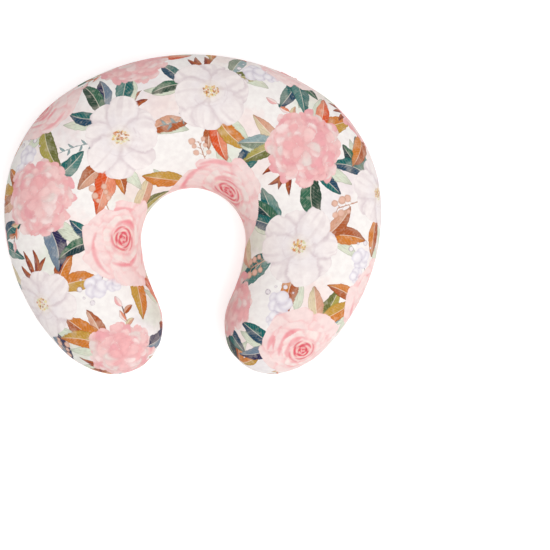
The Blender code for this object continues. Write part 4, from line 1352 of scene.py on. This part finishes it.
def add_closing_stitch():
    """Hand-sewn ladder stitches that close the casing's filling gap on the left arm."""
    ribs = some_ribs(-np.linspace(*CLOSING, LADDER_POINTS))
    sway = np.where(np.arange(LADDER_POINTS) % 2 == 0, 0.55, -0.55)[:, None]
    run = form_points(ribs, SEAM_LATITUDE + sway, CASING_DEPTH - LADDER_RISE)[:, 0]
    add_thread("ladder_stitches", [run], LADDER_THREAD, "casing_closing_stitch")


# ---------------------------------------------------------------- zip

def zip_frame():
    """Middle of the zip on the cover's face at the middle of the back, and its tilt outwards-down."""
    middle = form_points(some_ribs([0.0]), SEAM_LATITUDE, 0.0)[0, 0]
    under = HALF_HEIGHTS[0][1] / math.sin(math.radians(-REST_LATITUDE))
    angle = math.radians(-SEAM_LATITUDE)
    return middle, math.atan2(math.sin(angle) / under, math.cos(angle) / CREST_OFFSETS[0][1])


ZIP_MIDDLE, ZIP_TILT = zip_frame()
ZIP_AXIS_Y = BACK_Y - BACK[0]
ZIP_RADIUS = ZIP_MIDDLE[1] - ZIP_AXIS_Y


def zip_points(bearing, across, outwards):
    """Points of the zip: bearings, distances up across it and distances out of the cover's face."""
    radius = ZIP_RADIUS + across * math.sin(ZIP_TILT) + outwards * math.cos(ZIP_TILT)
    height = ZIP_MIDDLE[2] + across * math.cos(ZIP_TILT) - outwards * math.sin(ZIP_TILT)
    angle = np.radians(bearing)
    x, y = radius * np.sin(angle), ZIP_AXIS_Y + radius * np.cos(angle)
    return np.stack(np.broadcast_arrays(x, y, height), axis=-1)


def zip_matrix(bearing, lift=0.0):
    """Places a piece that is built in the zip's frame: X along, Y up across, Z outwards."""
    along = Vector((-1.0, 0.0, 0.0))
    across = Vector((0.0, math.sin(ZIP_TILT), math.cos(ZIP_TILT)))
    tilt = Matrix((along, across, along.cross(across))).transposed().to_4x4()
    turn = Matrix.Rotation(-math.radians(bearing), 4, "Z")
    origin = Vector(zip_points(np.float64(bearing), np.float64(0.0), np.float64(lift)))
    return Matrix.Translation(origin) @ turn @ tilt


def back_ribs(bearings):
    return some_ribs(np.radians(bearings) * BACK[0] / TIP_START)


def add_tapes():
    """Each tape runs flat beside its coil, then bends in to follow the pillow under the panel."""
    bearings = np.linspace(-TAPE_END, TAPE_END, 221)
    ribs = back_ribs(bearings)
    share = np.linspace(0.0, 1.0, 9)[None, :-1, None]
    for name, side, outer_row in (("zip_tape_upper", 1, TAPE_ROWS[0]), ("zip_tape_lower", -1, TAPE_ROWS[1])):
        rows = np.linspace(SEAM_LATITUDE + side * SLOT_HALF, outer_row, 9)[None, :]
        faces = []
        for depth in (TAPE_DEPTH, TAPE_DEPTH + TAPE_CLOTH):
            near = zip_points(bearings, side * TAPE_EDGE, -depth)[:, None]
            bent = form_points(ribs, rows, depth)
            faces.append(np.concatenate([near + (bent[:, :1] - near) * share, bent], axis=1))
        add_strip("woven_" + name, *faces, zip_tape, name, flip=side < 0)


def add_coils():
    """Each row is one monofilament wound into a coil; the rows' turns stand half a pitch apart."""
    pitch = math.degrees(COIL_PITCH / ZIP_RADIUS)
    for name, side, start in (("zip_coil_upper", 1, 0.0), ("zip_coil_lower", -1, 0.5)):
        turns = np.arange(start, 2.0 * COIL_END / pitch - 0.5, 1.0 / COIL_POINTS)
        across = side * (COIL_OFFSET + COIL_REACH * np.cos(FULL_TURN * turns))
        outwards = COIL_HEIGHT * np.sin(FULL_TURN * turns) - COIL_SINK
        run = zip_points(turns * pitch - COIL_END, across, outwards)
        add_thread("wound_" + name, [run], COIL_WIRE, name, make=zip_coil)


def add_topstitching():
    """Short stitches that dip into the cloth at their ends."""
    pitch = math.degrees(STITCH_PITCH / ZIP_RADIUS)
    reach = np.linspace(-1.0, 1.0, 7)
    rise = STITCH_RISE * (1.0 - reach ** 4) - STITCH_DIP
    for name, side in (("zip_topstitch_upper", 1), ("zip_topstitch_lower", -1)):
        row = SEAM_LATITUDE + side * (SLOT_HALF + TOPSTITCH_INSET)
        runs = [form_points(back_ribs(middle + 0.41 * pitch * reach), row, -rise[:, None])[:, 0]
                for middle in np.arange(-SLOT_END + pitch, SLOT_END - 0.5 * pitch, pitch)]
        add_thread("stitches_" + name, runs, STITCH_THREAD, name)


def add_bar_tacks():
    """Dense cross stitches over the seam at each end of the slot."""
    across = np.linspace(-TACK_HALF_HEIGHT, TACK_HALF_HEIGHT, TACK_STROKES)
    rows = SEAM_LATITUDE + np.degrees(across / (HALF_HEIGHTS[0][1] * 1.06))
    sway = np.where(np.arange(TACK_STROKES) % 2 == 0, TACK_SWAY, -TACK_SWAY)
    for name, side in (("zip_bar_tack_right", 1), ("zip_bar_tack_left", -1)):
        ribs = back_ribs(side * TACK_BEARING + np.degrees(sway / ZIP_RADIUS))
        run = form_points(ribs, rows[:, None], -TACK_RISE)[:, 0]
        add_thread("stitched_" + name, [run], TACK_THREAD, name)


def add_solid(name, shape, matrix, body, cad_node):
    """Painted metal piece from a bmesh built in the zip's frame."""
    bmesh.ops.transform(shape, matrix=matrix, verts=shape.verts)
    bmesh.ops.recalc_face_normals(shape, faces=shape.faces)
    mesh = bpy.data.meshes.new(name)
    shape.to_mesh(mesh)
    shape.free()
    mesh.shade_smooth()
    finish_piece(put_in_scene(name, mesh), slider_enamel, body, cad_node)


def add_prism(shape, outline_points, low, high, bevel):
    """Adds an upright prism with rounded edges to a bmesh, from a plan outline."""
    bottom = [shape.verts.new((x, y, low)) for x, y in outline_points]
    base = shape.faces.new(bottom)
    made = bmesh.ops.extrude_face_region(shape, geom=[base])
    top = [item for item in made["geom"] if isinstance(item, bmesh.types.BMVert)]
    bmesh.ops.translate(shape, vec=(0.0, 0.0, high - low), verts=top)
    edges = {edge for vert in bottom + top for edge in vert.link_edges}
    rims = [edge for edge in edges if abs(edge.verts[0].co.z - edge.verts[1].co.z) < 0.01 * MM]
    bmesh.ops.bevel(shape, geom=rims, offset=bevel, segments=3, profile=0.5, affect="EDGES")


def rounded_outline(corners, radius):
    """Closed outline through corner points, with each corner turned on a curve."""
    points = []
    for index, corner in enumerate(np.array(corners)):
        ways = [np.array(corners[place % len(corners)]) - corner for place in (index - 1, index + 1)]
        start, end = (corner + way / np.hypot(*way) * radius for way in ways)
        for t in np.linspace(0.0, 1.0, 5):
            points.append(tuple((1 - t) ** 2 * start + 2 * t * (1 - t) * corner + t ** 2 * end))
    return points


def add_stops():
    """Crimped stops: a rounded clip on each tape at the closed end, one across both at the open end."""
    half = STOP_LENGTH / 2
    for name, bearing, low, high, face in (
            ("zip_top_stop_upper", STOP_BEARING, STOP_NEAR, STOP_FAR, TOP_STOP_FACE),
            ("zip_top_stop_lower", STOP_BEARING, -STOP_FAR, -STOP_NEAR, TOP_STOP_FACE),
            ("zip_bottom_stop", -STOP_BEARING, -STOP_FAR, STOP_FAR, BOTTOM_STOP_FACE)):
        shape = bmesh.new()
        corners = [(-half, low), (half, low), (half, high), (-half, high)]
        add_prism(shape, rounded_outline(corners, 0.35 * MM), STOP_BACK, face, 0.2 * MM)
        add_solid("crimped_" + name, shape, zip_matrix(bearing), "pillow", name)


def plate_outline(inset=0.0):
    """Slider plate: broad where the rows part, narrower where they leave together."""
    half, wide = PLATE_LENGTH / 2 - inset, PLATE_WIDTH / 2 - inset
    return [(-half, -0.8 * wide), (-0.3 * half, -wide), (half, -0.72 * wide), (half, 0.72 * wide),
            (-0.3 * half, wide), (-half, 0.8 * wide)]


def add_slider():
    """Cast slider: two plates on a post, side flanges, and an arched bridge for the pull."""
    shape = bmesh.new()
    add_prism(shape, rounded_outline(plate_outline(), 0.9 * MM), *TOP_PLATE, 0.3 * MM)
    add_prism(shape, rounded_outline(plate_outline(0.1 * MM), 0.9 * MM), *UNDER_PLATE, 0.22 * MM)
    post = -PLATE_LENGTH / 2 + 0.5 * MM
    half_post = POST_WIDTH / 2
    corners = [(post, 0.0), (post + 0.5 * POST_LENGTH, -half_post), (post + POST_LENGTH, 0.0),
               (post + 0.5 * POST_LENGTH, half_post)]
    add_prism(shape, corners, UNDER_PLATE[1] - 0.1 * MM, TOP_PLATE[0] + 0.1 * MM, 0.04 * MM)
    for side in (1.0, -1.0):
        edge = [(x, y) for x, y in plate_outline(0.15 * MM) if side * y > 0.0]
        corners = edge + [(x, y - side * FLANGE) for x, y in edge[::-1]]
        add_prism(shape, corners, TOP_PLATE[0] - FLANGE_DROP, TOP_PLATE[0] + 0.2 * MM, 0.12 * MM)
    add_arch(shape)
    add_solid("cast_zip_slider", shape, zip_matrix(SLIDER_REST), "zip_slider", "zip_slider_body")


def add_arch(shape):
    """The bridge: a rounded strip swept along an arch over the top plate."""
    reach = (BRIDGE_SPAN + BRIDGE_LEG) / 2
    thick, wide = BRIDGE_LEG / 2, BRIDGE_WIDTH / 2
    rise = BRIDGE_TOP - thick
    spring = 0.55 * rise + 0.45 * TOP_PLATE[1]
    path = [(-reach, TOP_PLATE[1] - 0.1 * MM), (-reach, spring)]
    for angle in np.radians(np.arange(15, 91, 15)):
        path.append((-reach * math.cos(angle), spring + (rise - spring) * math.sin(angle)))
    path = np.array(path + [(-x, z) for x, z in path[-2::-1]])
    angles = np.radians(np.arange(0, 360, 30))
    section = [(size * np.copysign(np.abs(wave) ** 0.6, wave))
               for size, wave in ((thick, np.cos(angles)), (wide, np.sin(angles)))]
    rings = []
    for place, (x, z) in enumerate(path):
        way = path[min(place + 1, len(path) - 1)] - path[max(place - 1, 0)]
        way /= np.hypot(*way)
        rings.append([shape.verts.new((x - way[1] * a, b, z + way[0] * a)) for a, b in zip(*section)])
    for low, high in zip(rings[:-1], rings[1:]):
        for k in range(len(low)):
            shape.faces.new((low[k - 1], low[k], high[k], high[k - 1]))
    shape.faces.new(rings[0][::-1])
    shape.faces.new(rings[-1])


def add_pull():
    """Pull tab: a plate with rounded edges and a window, and three grip bars on each face."""
    curve = bpy.data.curves.new("pull_outline", "CURVE")
    curve.dimensions = "2D"
    curve.fill_mode = "BOTH"
    edge = 0.2 * MM
    curve.extrude = PULL_THICK / 2 - edge
    curve.bevel_depth = edge
    curve.bevel_resolution = 2
    curve.offset = -edge
    neck, far = PULL_HALF_WIDTH * 0.86, PULL_LENGTH
    tab = [(-PULL_BAR, -neck), (0.45 * far, -neck), (0.62 * far, -PULL_HALF_WIDTH),
           (far, -PULL_HALF_WIDTH * 0.9)]
    tab += [(x, -y) for x, y in tab[::-1]]
    window = [(PULL_BAR, -PULL_WINDOW_HALF), (PULL_WINDOW, -PULL_WINDOW_HALF)]
    window += [(x, -y) for x, y in window[::-1]]
    for corners, radius in ((tab, 1.0 * MM), (window, 0.5 * MM)):
        points = rounded_outline(corners, radius)
        spline = curve.splines.new("POLY")
        spline.points.add(len(points) - 1)
        for knot, (x, y) in zip(spline.points, points):
            knot.co = (x, y, 0.0, 1.0)
        spline.use_cyclic_u = True
    helper = put_in_scene("pull_outline", curve)
    mesh = bpy.data.meshes.new_from_object(helper.evaluated_get(bpy.context.evaluated_depsgraph_get()))
    bpy.data.objects.remove(helper, do_unlink=True)
    shape = bmesh.new()
    shape.from_mesh(mesh)
    bpy.data.meshes.remove(mesh)
    for step in range(3):
        near = 0.72 * far + step * GRIP_PITCH
        bar = [(near, -GRIP_HALF), (near + GRIP_WIDTH, -GRIP_HALF)]
        bar = rounded_outline(bar + [(x, -y) for x, y in bar[::-1]], 0.3 * MM)
        add_prism(shape, bar, -PULL_THICK / 2 - GRIP_RISE, PULL_THICK / 2 + GRIP_RISE, 0.1 * MM)
    add_solid("zip_pull", shape, zip_matrix(SLIDER_REST, PULL_AXIS_LIFT), "zip_pull", "zip_pull_tab")


# ---------------------------------------------------------------- camera, floor and light

def add_camera():
    data = bpy.data.cameras.new("camera")
    data.lens = CAMERA_LENS
    data.sensor_width = 36.0
    data.clip_end = 20.0
    camera = put_in_scene("camera", data)
    camera.location = CAMERA_PLACE
    bpy.context.scene.camera = camera


def add_studio():
    """Near-white floor, an even white world and one broad soft sun from nearly overhead."""
    corners = [(x * FLOOR_REACH, y * FLOOR_REACH, 0.0) for x, y in ((-1, -1), (1, -1), (1, 1), (-1, 1))]
    floor = make_mesh("floor", corners, [[0, 1, 2, 3]], smooth=False)
    floor.location.z = -FLOOR_DROP
    paper = Look("floor_paper")
    for name, value in (("Base Color", FLOOR_GREY), ("Roughness", 0.9), ("Specular IOR Level", 0.1),
                        ("Emission Color", WHITE), ("Emission Strength", FLOOR_GLOW)):
        paper.feed(paper.shader.inputs[name], value)
    floor.data.materials.append(paper.material)
    world = bpy.data.worlds.new("studio")
    bpy.context.scene.world = world
    world.use_nodes = True
    background = world.node_tree.nodes["Background"]
    background.inputs["Color"].default_value = (*WHITE, 1.0)
    background.inputs["Strength"].default_value = WORLD_LIGHT
    data = bpy.data.lights.new("softbox", "SUN")
    data.energy = SUN_LIGHT
    data.angle = math.radians(SUN_WIDTH)
    sun = put_in_scene("softbox", data)
    sun.rotation_euler = Vector(SUN_FROM).to_track_quat("Z", "Y").to_euler()
    bpy.context.scene.view_settings.view_transform = "Standard"


add_camera()
add_studio()
add_cover()
add_casing()
add_fill()
add_allowances()
add_labels()
add_closing_stitch()
add_tapes()
add_coils()
add_topstitching()
add_bar_tacks()
add_stops()
add_slider()
add_pull()
